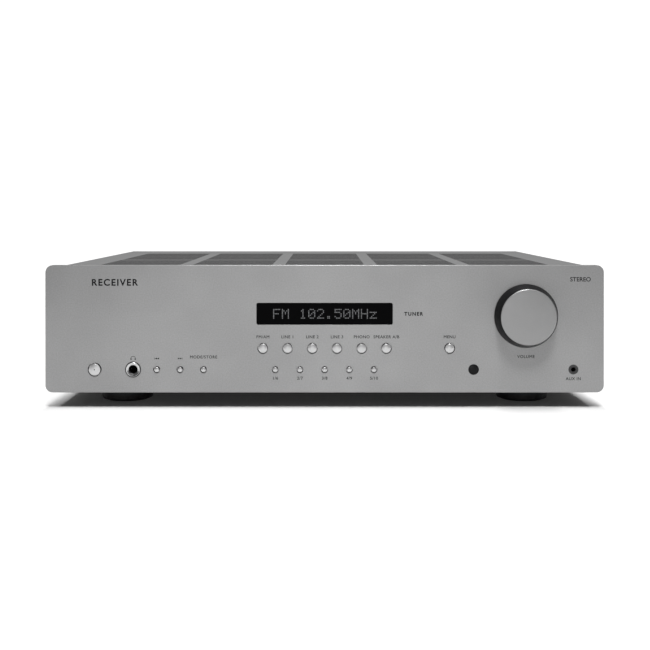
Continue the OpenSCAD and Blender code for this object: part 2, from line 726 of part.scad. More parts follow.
// The lever terminals' body: a wire hole under each lever, and a slot that the lever turns in
module aerial_block() color("black") difference() {
    block([aerial_x - am_w / 2, rear_in_y - 8, am_z - am_h / 2],
        [aerial_x + am_w / 2, rear_out_y + am_out, am_z + am_h / 2]);
    for (l = LEVERS) translate([aerial_x + l[1] * am_w / 4, 0, 0]) {
        block([-lever_w / 2 - 0.4, rear_out_y + 1, am_z], [lever_w / 2 + 0.4, rear_out_y + am_out + 1, am_z + am_h]);
        translate([0, rear_out_y + 3, am_z + 4]) rotate([0, 90, 0])
            cylinder(r = lever_pin_r + running, h = lever_w + 3, center = true);
        rod_y(0, am_z - 4, 1.3, rear_out_y, rear_out_y + am_out + 1);
    }
}

module aerial_lever(side) color(side < 0 ? "red" : "black")
    translate([aerial_x + side * am_w / 4, rear_out_y + 3, am_z + 4]) {
        rotate([0, 90, 0]) cylinder(r = lever_pin_r, h = lever_w + 2.4, center = true);
        rotate([lever_tilt, 0, 0]) translate([-lever_w / 2, -lever_t / 2, -lever_t / 2])
            cube([lever_w, lever_len, lever_t]);
    }

module terminal_posts() color("gold") {
    for (c = CAPS) {
        x = speaker_x + c[1] * terminal_pitch;
        z = speaker_low_z + (1 - c[2]) * speaker_rise;
        difference() {
            union() {
                rod_y(x, z, cap_r, rear_out_y, rear_out_y + collar_h);
                rod_y(x, z, post_r, rear_in_y - 14, back_y + post_len);
                rod_y(x, z, post_r + 3, rear_in_y - 3, rear_in_y);
            }
            rod_y(x, z, plug_bore_r, back_y + post_len - 15, back_y + post_len + eps);
        }
    }
    rod_y(phono_x, ground_z, ground_post_r, rear_in_y - 6, rear_out_y + ground_out);
    rod_y(phono_x, ground_z, ground_post_r + 2, rear_out_y, rear_out_y + 1.5);
}

// A screw cap with grooves round it and a hole in its end for a 4 mm plug
module speaker_cap(c) color(c[1] % 2 == 0 ? "red" : "black")
    translate([speaker_x + c[1] * terminal_pitch, 0, speaker_low_z + (1 - c[2]) * speaker_rise]) {
        y0 = rear_out_y + collar_h + 0.4;
        y1 = back_y + terminal_out;
        difference() {
            rod_y(0, 0, cap_r, y0, y1);
            rod_y(0, 0, post_r + running, y0 - eps, y1 - cap_end);
            rod_y(0, 0, plug_bore_r + 0.3, y0, y1 + eps);
            for (a = [0:30:330]) rod_y(cap_r * 1.06 * cos(a), cap_r * 1.06 * sin(a), 1, y0 + 2, y1 + eps);
        }
    }

module ground_thumb_nut() color("gold") difference() {
    rod_y(phono_x, ground_z, ground_nut_r, rear_out_y + 2, rear_out_y + 8);
    rod_y(phono_x, ground_z, ground_post_r + running, rear_out_y + 1, rear_out_y + 9);
    for (a = [0:30:330]) rod_y(phono_x + 4.8 * cos(a), ground_z + 4.8 * sin(a), 0.7,
        rear_out_y + 1, rear_out_y + 9);
}

// ---- Inside ----

module toroidal_transformer() color("orange")
    translate([toroid_x, toroid_y, tray_top_z + toroid_pad + toroid_h / 2]) rotate_extrude()
        translate([(toroid_r + toroid_hole) / 2, 0]) rounded(toroid_r - toroid_hole, toroid_h, 12);

module transformer_clamp() color("dimgray") translate([toroid_x, toroid_y, tray_top_z]) {
    difference() {
        cylinder(r = toroid_r - 8, h = toroid_pad);
        translate([0, 0, -eps]) cylinder(r = bolt_r + 0.5, h = toroid_pad + 2 * eps);
    }
    translate([0, 0, toroid_pad + toroid_h]) cylinder(r = clamp_r, h = clamp_t);
    translate([0, 0, -tray_t]) cylinder(r = bolt_r, h = tray_t + toroid_pad + toroid_h + clamp_t);
    translate([0, 0, toroid_pad + toroid_h + clamp_t]) cylinder(r = 7.5, h = 6, $fn = 6);
}

module amplifier_board() color("darkgreen")
    block([amp_x[0], amp_y[0], board_z], [amp_x[1], amp_y[1], board_top_z]);

module heatsink() color("silver") {
    x0 = amp_mid_x - sink_w / 2;
    block([x0, sink_y, board_top_z], [x0 + sink_w, sink_y + sink_base, board_top_z + sink_h]);
    for (i = [0:sink_fins - 1])
        translate([x0 + i * (sink_w - sink_fin_t) / (sink_fins - 1), sink_y + sink_base - eps, board_top_z])
            cube([sink_fin_t, sink_fin + eps, sink_h]);
}

module power_transistors() color("black") for (i = [0:devices - 1]) {
    x = amp_mid_x + (i - (devices - 1) / 2) * 30;
    block([x - device_w / 2, sink_y - device_t, board_top_z + 18],
        [x + device_w / 2, sink_y, board_top_z + 18 + device_h]);
    for (k = [-1, 0, 1])
        block([x + k * 5 - 0.5, sink_y - 3, board_top_z], [x + k * 5 + 0.5, sink_y - 2, board_top_z + 18]);
}

module board_components() {
    color("black") for (i = [-1, 1])
        translate([amp_mid_x + i * (can_r + 6), amp_y[0] + can_r + 10, board_top_z]) cylinder(r = can_r, h = can_h);
    color("ivory") for (i = [0:2])
        translate([amp_x[0] + 12 + i * 26, amp_y[1] - 32, board_top_z]) cube([19, 24, 16]);
    color("black") for (i = [0:3], s = [-1, 1])
        translate([amp_mid_x + s * (can_r * 2 + 18), amp_y[0] + 12 + i * 13, board_top_z]) cylinder(r = 5, h = 18);
}

module input_board() color("darkgreen")
    block([input_x[0], input_y[0], input_z], [input_x[1], input_y[1] - sheet_gap, input_z + board_t]);

// ---- Assembly ----

front_panel();
front_subchassis();
display_window();
display_module();
key_board();
key_switches();
ir_window();
headphone_socket();
headphone_nut();
aux_socket();
volume_encoder();
encoder_shaft();
volume_knob();
base_tray();
rear_panel();
top_cover();
feet();
foot_pads();
case_screws();
toroidal_transformer();
transformer_clamp();
mains_inlet();
mains_rocker();
heatsink();
power_transistors();
amplifier_board();
board_components();
input_board();
phono_sockets();
digital_sockets();
tuner_module();
aerial_block();
terminal_posts();
ground_thumb_nut();
for (b = BUTTONS) button(b);
for (c = CAPS) speaker_cap(c);
for (l = LEVERS) aerial_lever(l[1]);
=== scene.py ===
"""The looks of a full-width stereo receiver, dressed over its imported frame.

Lengths are in metres unless a name ends in _MM. The front faces -Y and +Z is up.
"""

import json
import logging
import math
from collections.abc import Callable, Iterable, Sequence
from dataclasses import dataclass, field
from enum import Enum

import bmesh
import bpy
from mathutils import Matrix, Vector

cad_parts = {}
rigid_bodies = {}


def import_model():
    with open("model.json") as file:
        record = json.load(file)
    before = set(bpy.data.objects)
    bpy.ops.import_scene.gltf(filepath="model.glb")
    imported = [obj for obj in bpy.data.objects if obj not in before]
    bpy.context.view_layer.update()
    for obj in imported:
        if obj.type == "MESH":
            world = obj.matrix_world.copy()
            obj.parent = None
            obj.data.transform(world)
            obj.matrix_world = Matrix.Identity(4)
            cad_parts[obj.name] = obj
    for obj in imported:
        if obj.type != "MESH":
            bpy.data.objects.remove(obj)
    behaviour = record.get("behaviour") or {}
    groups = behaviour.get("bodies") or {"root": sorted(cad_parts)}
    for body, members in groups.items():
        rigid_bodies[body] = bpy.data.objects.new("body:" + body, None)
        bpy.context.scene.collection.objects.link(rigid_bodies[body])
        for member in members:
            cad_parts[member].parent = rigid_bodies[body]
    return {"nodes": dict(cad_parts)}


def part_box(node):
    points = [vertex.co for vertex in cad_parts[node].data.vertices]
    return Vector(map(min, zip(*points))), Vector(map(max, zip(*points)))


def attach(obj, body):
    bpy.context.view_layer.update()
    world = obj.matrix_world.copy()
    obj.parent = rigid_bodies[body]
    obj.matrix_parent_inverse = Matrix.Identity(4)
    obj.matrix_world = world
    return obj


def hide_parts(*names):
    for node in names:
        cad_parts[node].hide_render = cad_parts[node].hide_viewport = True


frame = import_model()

LOG = logging.getLogger("receiver")
MM = 0.001
CHASSIS = "chassis"
SHARP = math.radians(38)  # edges sharper than this are rounded
FLAT = math.radians(0.6)  # faces that differ by less than this become one
MERGED = 0.002 * MM  # corners closer than this become one

Colour = tuple[float, float, float]
Point = tuple[float, float, float]
Profile = Sequence[tuple[float, float]]
Socket = bpy.types.NodeSocket
Value = Socket | float


# ---------------------------------------------------------------- node trees


class Nodes:
    """Adds nodes to one node tree."""

    def __init__(self, tree: bpy.types.NodeTree) -> None:
        """Takes the tree.

        Args:
            tree: The node tree of a material, of the world or of a modifier.
        """
        self.tree = tree

    def node(self, kind: str, **settings: object) -> bpy.types.Node:
        """Adds a node and sets its properties.

        Args:
            kind: The node's type.
            **settings: Its properties.

        Returns:
            The node.
        """
        made = self.tree.nodes.new(kind)
        for key, value in settings.items():
            setattr(made, key, value)
        return made

    def link(self, source: Socket, target: Socket) -> None:
        """Links two sockets."""
        self.tree.links.new(source, target)

    def feed(self, value: Value, target: Socket) -> None:
        """Gives an input a number, or links a socket to it."""
        if isinstance(value, (int, float)):
            target.default_value = value
        else:
            self.link(value, target)

    def maths(self, operation: str, *values: Value) -> Socket:
        """Adds a maths node on sockets or numbers.

        Args:
            operation: The node's operation.
            *values: Its inputs, in order.

        Returns:
            The result's socket.
        """
        return self._fed(self.node("ShaderNodeMath", operation=operation), values)

    def vector(self, *values: Value) -> Socket:
        """Joins up to three sockets or numbers into a vector."""
        return self._fed(self.node("ShaderNodeCombineXYZ"), values)

    def _fed(self, node: bpy.types.Node, values: Sequence[Value]) -> Socket:
        """Feeds a node's first inputs and gives its output."""
        for value, target in zip(values, node.inputs):
            self.feed(value, target)
        return node.outputs[0]


# ---------------------------------------------------------------- finishes


COAT_ROUGHNESS = 0.08
MOTTLE_SIZE = 45.0  # size of the broad mottling, in features of the fine grain
FINE_SHARE = 0.6  # share of the colour's variation that follows the fine grain
ROUGHNESS_SPREAD = 0.05  # how far the roughness strays from its middle
BUMP_STRENGTH = 0.6
LINES_ALONG_X = (0.02, 1.0, 1.0)  # scale that draws a grain out into lines
TRACK_EDGE = 0.32  # where a track ends, from the middle of a cell


class Texture(Enum):
    """How the surface of a finish is worked."""

    BLASTED = "fine even grain"
    PAINTED = "fine orange peel"
    BRUSHED = "fine lines along X"
    TURNED = "fine rings round an axis along Y"
    MOULDED = "soft mould grain"
    TRACED = "a board's tracks under resist"
    WOUND = "turns of wire round a ring"


@dataclass(frozen=True)
class Finish:
    """One procedural material.

    Attributes:
        name: What the finish is called.
        colour: Its base colour, linear.
        second: The colour that its pattern or mottling moves towards.
        metallic: 1 for bare metal, 0 for paint and plastic.
        roughness: Its middle roughness.
        texture: How the surface is worked.
        grain: Features of the pattern per metre.
        mottle: How strongly the colour varies, from 0 to 1.
        depth: Depth of the grain as a bump, in metres.
        coat: Weight of a clear coat.
        glow: Strength of light given off.
        mirror: Strength of the surface reflection, 0.5 for common plastics and glass.
        centre: A point on the axis of a turned or wound finish.
    """

    name: str
    colour: Colour
    second: Colour
    metallic: float = 0.0
    roughness: float = 0.5
    texture: Texture = Texture.MOULDED
    grain: float = 1500.0
    mottle: float = 0.35
    depth: float = 0.00001
    coat: float = 0.0
    glow: float = 0.0
    mirror: float = 0.5
    centre: Point = (0.0, 0.0, 0.0)

    def material(self) -> bpy.types.Material:
        """Builds the material, or returns the one already built.

        Returns:
            The finished node material.
        """
        made = bpy.data.materials.get(self.name)
        if made is not None:
            return made
        made = bpy.data.materials.new(self.name)
        made.use_nodes = True
        nodes = Nodes(made.node_tree)
        shader = made.node_tree.nodes["Principled BSDF"]
        shader.inputs["Metallic"].default_value = self.metallic
        shader.inputs["Specular IOR Level"].default_value = self.mirror
        shader.inputs["Coat Weight"].default_value = self.coat
        shader.inputs["Coat Roughness"].default_value = COAT_ROUGHNESS
        if self.glow:
            shader.inputs["Emission Color"].default_value = (*self.colour, 1.0)
            shader.inputs["Emission Strength"].default_value = self.glow
        place = self._place(nodes)
        fine = self._pattern(nodes, place)
        broad = self._noise(nodes, place, self.grain / MOTTLE_SIZE, 3.0)
        self._mix_colour(nodes, shader, fine, broad)
        self._roughen(nodes, shader, fine)
        self._bump(nodes, shader, fine)
        made.diffuse_color = (*self.colour, 1.0)
        return made

    def _place(self, nodes: Nodes) -> Socket:
        """Gives object coordinates counted from the finish's centre."""
        where = nodes.node("ShaderNodeTexCoord")
        shift = nodes.node("ShaderNodeMapping")
        shift.inputs["Location"].default_value = tuple(-c for c in self.centre)
        nodes.link(where.outputs["Object"], shift.inputs["Vector"])
        return shift.outputs["Vector"]

    @staticmethod
    def _noise(nodes: Nodes, place: Socket, scale: float, detail: float) -> Socket:
        """Adds a noise texture.

        Args:
            nodes: The material's nodes.
            place: The vector socket that it reads.
            scale: Features per metre.
            detail: Octaves of detail.

        Returns:
            The noise's value, about 0.5 on average.
        """
        noise = nodes.node("ShaderNodeTexNoise")
        noise.inputs["Scale"].default_value = scale
        noise.inputs["Detail"].default_value = detail
        nodes.link(place, noise.inputs["Vector"])
        return noise.outputs["Fac"]

    @staticmethod
    def _polar(nodes: Nodes, place: Socket, flat: tuple[str, str]) -> tuple[Socket, Socket]:
        """Turns two coordinates into a radius and an angle round the centre.

        Args:
            nodes: The material's nodes.
            place: The vector socket to read.
            flat: The names of the two coordinates across the axis.

        Returns:
            The radius in metres and the angle in radians.
        """
        split = nodes.node("ShaderNodeSeparateXYZ")
        nodes.link(place, split.inputs[0])
        a, b = (split.outputs[name] for name in flat)
        squares = nodes.maths("ADD", nodes.maths("MULTIPLY", a, a), nodes.maths("MULTIPLY", b, b))
        return nodes.maths("SQRT", squares), nodes.maths("ARCTAN2", a, b)

    def _pattern(self, nodes: Nodes, place: Socket) -> Socket:
        """Adds the fine pattern that the texture asks for.

        Args:
            nodes: The material's nodes.
            place: The vector socket that patterns read.

        Returns:
            The pattern's value, from 0 to 1.
        """
        if self.texture is Texture.BRUSHED:
            stretch = nodes.node("ShaderNodeMapping")
            stretch.inputs["Scale"].default_value = LINES_ALONG_X
            nodes.link(place, stretch.inputs["Vector"])
            return self._noise(nodes, stretch.outputs["Vector"], self.grain, 2.0)
        if self.texture is Texture.TURNED:
            radius, _ = self._polar(nodes, place, ("X", "Z"))
            return self._noise(nodes, nodes.vector(radius), self.grain, 2.0)
        if self.texture is Texture.WOUND:
            _, angle = self._polar(nodes, place, ("X", "Y"))
            turns = nodes.maths("SINE", nodes.maths("MULTIPLY", angle, self.grain))
            return nodes.maths("MULTIPLY_ADD", turns, 0.5, 0.5)
        if self.texture is Texture.TRACED:
            return self._tracks(nodes, place)
        detail = {Texture.BLASTED: 3.0, Texture.PAINTED: 1.0, Texture.MOULDED: 2.0}[self.texture]
        return self._noise(nodes, place, self.grain, detail)

    def _tracks(self, nodes: Nodes, place: Socket) -> Socket:
        """Adds square cells with crisp edges, as tracks on a board.

        Args:
            nodes: The material's nodes.
            place: The vector socket that patterns read.

        Returns:
            The pattern's value, 0 or 1.
        """
        cells = nodes.node("ShaderNodeTexVoronoi", distance="CHEBYCHEV", feature="F1")
        cells.inputs["Scale"].default_value = self.grain
        nodes.link(place, cells.inputs["Vector"])
        ramp = nodes.node("ShaderNodeValToRGB")
        ramp.color_ramp.interpolation = "CONSTANT"
        ramp.color_ramp.elements[1].position = TRACK_EDGE
        nodes.link(cells.outputs["Distance"], ramp.inputs["Fac"])
        return ramp.outputs["Color"]

    def _mix_colour(
        self, nodes: Nodes, shader: bpy.types.ShaderNode, fine: Socket, broad: Socket
    ) -> None:
        """Blends the two colours by the fine and the broad pattern together.

        Args:
            nodes: The material's nodes.
            shader: The principled shader.
            fine: The fine pattern.
            broad: The slow mottling.
        """
        slow = nodes.maths("MULTIPLY", broad, 1.0 - FINE_SHARE)
        both = nodes.maths("ADD", nodes.maths("MULTIPLY", fine, FINE_SHARE), slow)
        mix = nodes.node("ShaderNodeMix", data_type="RGBA")
        mix.inputs[6].default_value = (*self.colour, 1.0)
        mix.inputs[7].default_value = (*self.second, 1.0)
        nodes.link(nodes.maths("MULTIPLY", both, self.mottle), mix.inputs[0])
        nodes.link(mix.outputs[2], shader.inputs["Base Color"])

    def _roughen(self, nodes: Nodes, shader: bpy.types.ShaderNode, fine: Socket) -> None:
        """Lets the roughness follow the fine pattern a little."""
        spread = nodes.node("ShaderNodeMapRange")
        spread.inputs["To Min"].default_value = max(self.roughness - ROUGHNESS_SPREAD, 0.02)
        spread.inputs["To Max"].default_value = min(self.roughness + ROUGHNESS_SPREAD, 1.0)
        nodes.link(fine, spread.inputs["Value"])
        nodes.link(spread.outputs["Result"], shader.inputs["Roughness"])

    def _bump(self, nodes: Nodes, shader: bpy.types.ShaderNode, fine: Socket) -> None:
        """Raises the fine pattern as a bump."""
        bump = nodes.node("ShaderNodeBump")
        bump.inputs["Strength"].default_value = BUMP_STRENGTH
        bump.inputs["Distance"].default_value = self.depth
        nodes.link(fine, bump.inputs["Height"])
        nodes.link(bump.outputs["Normal"], shader.inputs["Normal"])


def middle(node: str) -> Vector:
    """Gives the centre of a frame node's box."""
    low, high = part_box(node)
    return (Vector(low) + Vector(high)) / 2


def end_point(node: str, rear: bool = False) -> Vector:
    """Gives the middle of the front or the rear end of a frame node's box."""
    low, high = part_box(node)
    at = middle(node)
    at.y = (high if rear else low)[1]
    return at


KNOB_CENTRE = tuple(middle("volume_knob"))
TOROID_CENTRE = tuple(middle("toroidal_transformer"))

ANODISED = Finish(
    "satin_anodised_grey", (0.18, 0.18, 0.181), (0.4, 0.4, 0.401), 0.5, 0.3,
    Texture.BLASTED, 1000.0, 0.8, 0.00004,
)
TURNED_FACE = Finish(
    "turned_grey_aluminium", (0.23, 0.23, 0.231), (0.33, 0.33, 0.331), 0.55, 0.36,
    Texture.TURNED, 5200.0, 0.6, 0.00006, centre=KNOB_CENTRE,
)
SILVERED = Finish(
    "satin_silver_button", (0.49, 0.49, 0.492), (0.59, 0.59, 0.59), 0.8, 0.34,
    Texture.BLASTED, 3200.0, 0.4, 0.000006,
)
CHROMED = Finish(
    "satin_chrome", (0.5, 0.5, 0.505), (0.6, 0.6, 0.6), 1.0, 0.26,
    Texture.BLASTED, 1200.0, 0.3, 0.000002,
)
CASE_PAINT = Finish(
    "textured_grey_paint", (0.12, 0.12, 0.121), (0.165, 0.165, 0.166), 0.2, 0.5,
    Texture.PAINTED, 1300.0, 0.5, 0.00003,
)
REAR_PAINT = Finish(
    "matt_black_paint", (0.022, 0.022, 0.023), (0.04, 0.04, 0.041), 0.0, 0.55,
    Texture.PAINTED, 1500.0, 0.5, 0.00003,
)
ZINC = Finish(
    "zinc_plated_steel", (0.2, 0.2, 0.2), (0.34, 0.34, 0.335), 0.6, 0.55,
    Texture.BRUSHED, 900.0, 0.6, 0.00001, mirror=0.3,
)
# Painted shade: darkens the walls of the cover's slots
SLOT_WALL_SHADE = Finish(
    "painted_slot_wall_shade", (0.05, 0.05, 0.05), (0.07, 0.07, 0.07), 0.0, 0.8,
    Texture.PAINTED, 1300.0, 0.5, 0.00002, mirror=0.1,
)
BLACK_GLASS = Finish(
    "coated_black_window", (0.002, 0.002, 0.0022), (0.003, 0.003, 0.0033), 0.0, 0.07,
    Texture.MOULDED, 300.0, 0.3, 0.000001, mirror=0.006,
)
EYE_GLASS = Finish(
    "gloss_black_eye", (0.006, 0.006, 0.0065), (0.009, 0.009, 0.0095), 0.0, 0.12,
    Texture.MOULDED, 300.0, 0.3, 0.000001, mirror=0.1,
)
DISPLAY_GLASS = Finish(
    "display_glass", (0.02, 0.035, 0.035), (0.03, 0.05, 0.05), 0.0, 0.12,
    Texture.MOULDED, 500.0, 0.4, 0.000002,
)
DOT_GLOW = Finish(
    "dim_display_dots", (0.115, 0.118, 0.122), (0.13, 0.13, 0.135), 0.0, 0.6,
    Texture.MOULDED, 900.0, 0.3, 0.000002, glow=0.25,
)
# Real black plastic, also used as painted shade on the front panel's hole walls
BLACK_PLASTIC_AND_SHADE = Finish(
    "moulded_black_plastic_and_painted_shade", (0.014, 0.014, 0.015), (0.028, 0.028, 0.029), 0.0, 0.42,
    Texture.MOULDED, 1800.0, 0.5, 0.00002,
)
SATIN_BLACK = Finish(
    "satin_black_knob_flank", (0.005, 0.005, 0.0055), (0.009, 0.009, 0.0095), 0.0, 0.3,
    Texture.MOULDED, 1600.0, 0.4, 0.000004, mirror=0.05,
)
RED_PLASTIC = Finish(
    "moulded_red_plastic", (0.36, 0.012, 0.012), (0.45, 0.03, 0.025), 0.0, 0.3,
    Texture.MOULDED, 1200.0, 0.4, 0.00001, coat=0.3,
)
WHITE_PLASTIC = Finish(
    "moulded_white_plastic", (0.62, 0.62, 0.6), (0.7, 0.7, 0.68), 0.0, 0.4,
    Texture.MOULDED, 1200.0, 0.4, 0.00001,
)
ORANGE_PLASTIC = Finish(
    "moulded_orange_plastic", (0.55, 0.14, 0.01), (0.62, 0.2, 0.02), 0.0, 0.4,
    Texture.MOULDED, 1200.0, 0.4, 0.00001,
)
RUBBER = Finish(
    "ribbed_black_rubber", (0.016, 0.016, 0.016), (0.03, 0.03, 0.03), 0.0, 0.85,
    Texture.MOULDED, 900.0, 0.6, 0.00006,
)
GOLD = Finish(
    "gold_plated_brass", (0.78, 0.55, 0.24), (0.86, 0.66, 0.34), 1.0, 0.22,
    Texture.BLASTED, 1500.0, 0.4, 0.000004,
)
COPPER = Finish(
    "varnished_copper_winding", (0.30, 0.10, 0.03), (0.62, 0.28, 0.10), 0.6, 0.35,
    Texture.WOUND, 260.0, 0.9, 0.0004, coat=0.4, centre=TOROID_CENTRE,
)
RESIST = Finish(
    "green_solder_resist", (0.008, 0.06, 0.02), (0.025, 0.12, 0.04), 0.0, 0.5,
    Texture.TRACED, 260.0, 0.8, 0.00004, mirror=0.1,
)
BLACK_ALUMINIUM = Finish(
    "black_anodised_extrusion", (0.02, 0.02, 0.022), (0.035, 0.035, 0.037), 0.4, 0.5,
    Texture.BRUSHED, 1200.0, 0.5, 0.00001,
)
# Black oxide steel, also used as painted shade on the buttons' rim edges and flanks
BLACK_STEEL_AND_SHADE = Finish(
    "black_oxide_steel_and_painted_shade", (0.03, 0.03, 0.031), (0.05, 0.05, 0.05), 0.8, 0.35,
    Texture.BLASTED, 1800.0, 0.5, 0.00001,
)
SLEEVE = Finish(
    "printed_capacitor_sleeve", (0.012, 0.02, 0.05), (0.02, 0.03, 0.07), 0.0, 0.5,
    Texture.MOULDED, 700.0, 0.4, 0.00001, mirror=0.15,
)
LEGEND = Finish(
    "dark_grey_print", (0.012, 0.012, 0.013), (0.02, 0.02, 0.021), 0.0, 0.7,
    Texture.MOULDED, 2500.0, 0.4, 0.000002, mirror=0.05,
)
REAR_LEGEND = Finish(
    "white_print", (0.62, 0.62, 0.62), (0.7, 0.7, 0.7), 0.0, 0.6,
    Texture.MOULDED, 2500.0, 0.4, 0.000002,
)
FLOOR_CARD = Finish(
    "pale_paper_floor", (0.54, 0.54, 0.54), (0.57, 0.57, 0.57), 0.0, 0.9,
    Texture.MOULDED, 120.0, 0.3, 0.00001, mirror=0.0, glow=0.033,
)


# ---------------------------------------------------------------- making pieces


def linked(name: str, data: bpy.types.ID | None) -> bpy.types.Object:
    """Adds an object with some data to the scene."""
    made = bpy.data.objects.new(name, data)
    bpy.context.scene.collection.objects.link(made)
    return made


def paint(mesh: bpy.types.Mesh, *finishes: Finish) -> None:
    """Gives a mesh that has no materials its material slots, in order."""
    for finish in finishes:
        mesh.materials.append(finish.material())


def put(
    name: str,
    mesh: bpy.types.Mesh,
    finish: Finish,
    body: str = CHASSIS,
    stands_for: Sequence[str] = (),
) -> bpy.types.Object:
    """Adds a finished mesh to the scene and declares what it rides on.

    Args:
        name: The piece's name.
        mesh: Its mesh, already in its place.
        finish: Its material.
        body: The body that it rides on.
        stands_for: Frame nodes that it replaces.

    Returns:
        The new object.
    """
    mesh.name = name
    piece = linked(name, mesh)
    if not mesh.materials:
        paint(mesh, finish)
    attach(piece, body)
    if stands_for:
        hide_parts(*stands_for)
    LOG.info("%s: %d faces on %s, %s", name, len(mesh.polygons), body, finish.name)
    return piece


def smooth(bm: bmesh.types.BMesh, limit: float = 32.0) -> None:
    """Shades faces smooth, and marks edges sharper than a limit.

    Args:
        bm: The mesh to shade.
        limit: The angle between faces, in degrees, above which an edge stays crisp.
    """
    for face in bm.faces:
        face.smooth = True
    for edge in bm.edges:
        flat = len(edge.link_faces) == 2 and edge.calc_face_angle(0.0) < math.radians(limit)
        edge.smooth = flat


def to_mesh(bm: bmesh.types.BMesh, limit: float = 32.0) -> bpy.types.Mesh:
    """Shades a bmesh and turns it into a mesh, freeing the bmesh.

    Args:
        bm: The mesh under construction.
        limit: The smoothing limit in degrees.

    Returns:
        The new mesh.
    """
    smooth(bm, limit)
    mesh = bpy.data.meshes.new("mesh")
    bm.to_mesh(mesh)
    bm.free()
    return mesh


def evaluated(obj: bpy.types.Object) -> bpy.types.Mesh:
    """Gives the mesh that an object's modifiers make, and removes the object.

    Args:
        obj: An object with live modifiers.

    Returns:
        The plain mesh.
    """
    bpy.context.view_layer.update()
    graph = bpy.context.evaluated_depsgraph_get()
    mesh = bpy.data.meshes.new_from_object(obj.evaluated_get(graph), depsgraph=graph)
    obj.modifiers.clear()
    bpy.data.objects.remove(obj)
    return mesh


def rounded_copy(
    node: str, width: float, segments: int = 2, share: Callable[[Vector], float] | None = None
) -> bpy.types.Mesh:
    """Copies a frame node's mesh and rounds its edges.

    Args:
        node: The frame node.
        width: Width of the rounding, in metres.
        segments: Steps across the rounding.
        share: Gives the share of the width that an edge gets, from its middle.

    Returns:
        The copy, with its edges rounded.
    """
    bm = bmesh.new()
    bm.from_mesh(frame["nodes"][node].data)
    bmesh.ops.remove_doubles(bm, verts=bm.verts, dist=MERGED)
    bmesh.ops.dissolve_limit(
        bm, angle_limit=FLAT, verts=bm.verts, edges=bm.edges, delimit={"NORMAL"}
    )
    if share is not None:
        weight = bm.edges.layers.float.new("bevel_weight_edge")
        for edge in bm.edges:
            if edge.calc_face_angle(0.0) > SHARP:
                edge[weight] = share((edge.verts[0].co + edge.verts[1].co) / 2)
    mesh = to_mesh(bm)
    mesh.materials.clear()
    holder = linked("rounding", mesh)
    bevel = holder.modifiers.new("edges", "BEVEL")
    bevel.width = width
    bevel.segments = segments
    bevel.limit_method = "ANGLE" if share is None else "WEIGHT"
    bevel.angle_limit = SHARP
    bevel.use_clamp_overlap = True
    bevel.miter_outer = "MITER_ARC"
    bevel.harden_normals = True
    return evaluated(holder)


def dressed_copy(
    node: str,
    finish: Finish,
    width: float = 0.25 * MM,
    body: str = CHASSIS,
    segments: int = 2,
) -> bpy.types.Object:
    """Replaces a frame node by a copy with rounded edges and a finish.

    Args:
        node: The frame node.
        finish: The copy's material.
        width: Width of the rounding.
        body: The body that it rides on.
        segments: Steps across the rounding.

    Returns:
        The new piece.
    """
    return put(f"{node}_made", rounded_copy(node, width, segments), finish, body, [node])


def dress(nodes: Iterable[str], finish: Finish) -> None:
    """Gives frame nodes that stay as they are a material.

    Args:
        nodes: The frame nodes.
        finish: Their material.
    """
    for node in nodes:
        mesh = frame["nodes"][node].data
        mesh.materials.clear()
        paint(mesh, finish)
        LOG.info("%s: kept, %s", node, finish.name)


def lathe(
    profile: Profile, centre: Vector, segments: int = 64, outward: int = -1
) -> bmesh.types.BMesh:
    """Turns a closed profile round an axis along Y.

    Args:
        profile: Points as (radius, distance along the axis). A radius of 0 is on the axis.
        centre: Where the distance 0 lies.
        segments: Steps round the axis.
        outward: -1 where distances run towards the front, 1 towards the rear.

    Returns:
        The closed solid.
    """
    bm = bmesh.new()
    turns = [2 * math.pi * k / segments for k in range(segments)]
    rings: list[list[bmesh.types.BMVert]] = []
    for radius, along in profile:
        y = centre.y + outward * along
        around = turns if radius > 0.0 else [0.0]
        ring = [(centre.x + radius * math.cos(t), y, centre.z + radius * math.sin(t)) for t in around]
        rings.append([bm.verts.new(at) for at in ring])
    for a, b in zip(rings, rings[1:] + rings[:1]):
        if len(a) == 1 and len(b) == 1:
            continue
        for k in range(segments):
            n = (k + 1) % segments
            corners = [a[k % len(a)], a[n % len(a)], b[n % len(b)], b[k % len(b)]]
            bm.faces.new(list(dict.fromkeys(corners)))
    bmesh.ops.recalc_face_normals(bm, faces=bm.faces)
    return bm


def arc(
    centre: tuple[float, float], radius: float, start: float, end: float, steps: int
) -> list[tuple[float, float]]:
    """Gives points along an arc.

    Args:
        centre: The arc's centre.
        radius: Its radius.
        start: Its first angle in degrees.
        end: Its last angle in degrees.
        steps: Steps between them.

    Returns:
        The points, both ends included.
    """
    angles = (math.radians(start + (end - start) * i / steps) for i in range(steps + 1))
    return [(centre[0] + radius * math.cos(a), centre[1] + radius * math.sin(a)) for a in angles]


def dome(radius: float, rise: float, reach: float, steps: int) -> list[tuple[float, float]]:
    """Gives the profile of a domed face, from its middle outwards.

    Args:
        radius: Radius of the circle over which it is domed.
        rise: Height of its middle over that circle.
        reach: Radius at which the profile ends.
        steps: Steps between the two.

    Returns:
        Points as (radius, depth under the middle).
    """
    sphere = (radius**2 + rise**2) / (2 * rise)
    end = 90 - math.degrees(math.asin(reach / sphere))
    return [(0.0, 0.0)] + [(x, sphere - y) for x, y in arc((0.0, 0.0), sphere, 90, end, steps)[1:]]


def raise_flat(bm: bmesh.types.BMesh, way: Point) -> None:
    """Turns flat faces into thin solids.

    Args:
        bm: The flat faces.
        way: How far and which way their second side is moved.
    """
    solid = bmesh.ops.extrude_face_region(bm, geom=list(bm.faces))
    moved = [v for v in solid["geom"] if isinstance(v, bmesh.types.BMVert)]
    bmesh.ops.translate(bm, verts=moved, vec=way)
    bmesh.ops.recalc_face_normals(bm, faces=bm.faces)


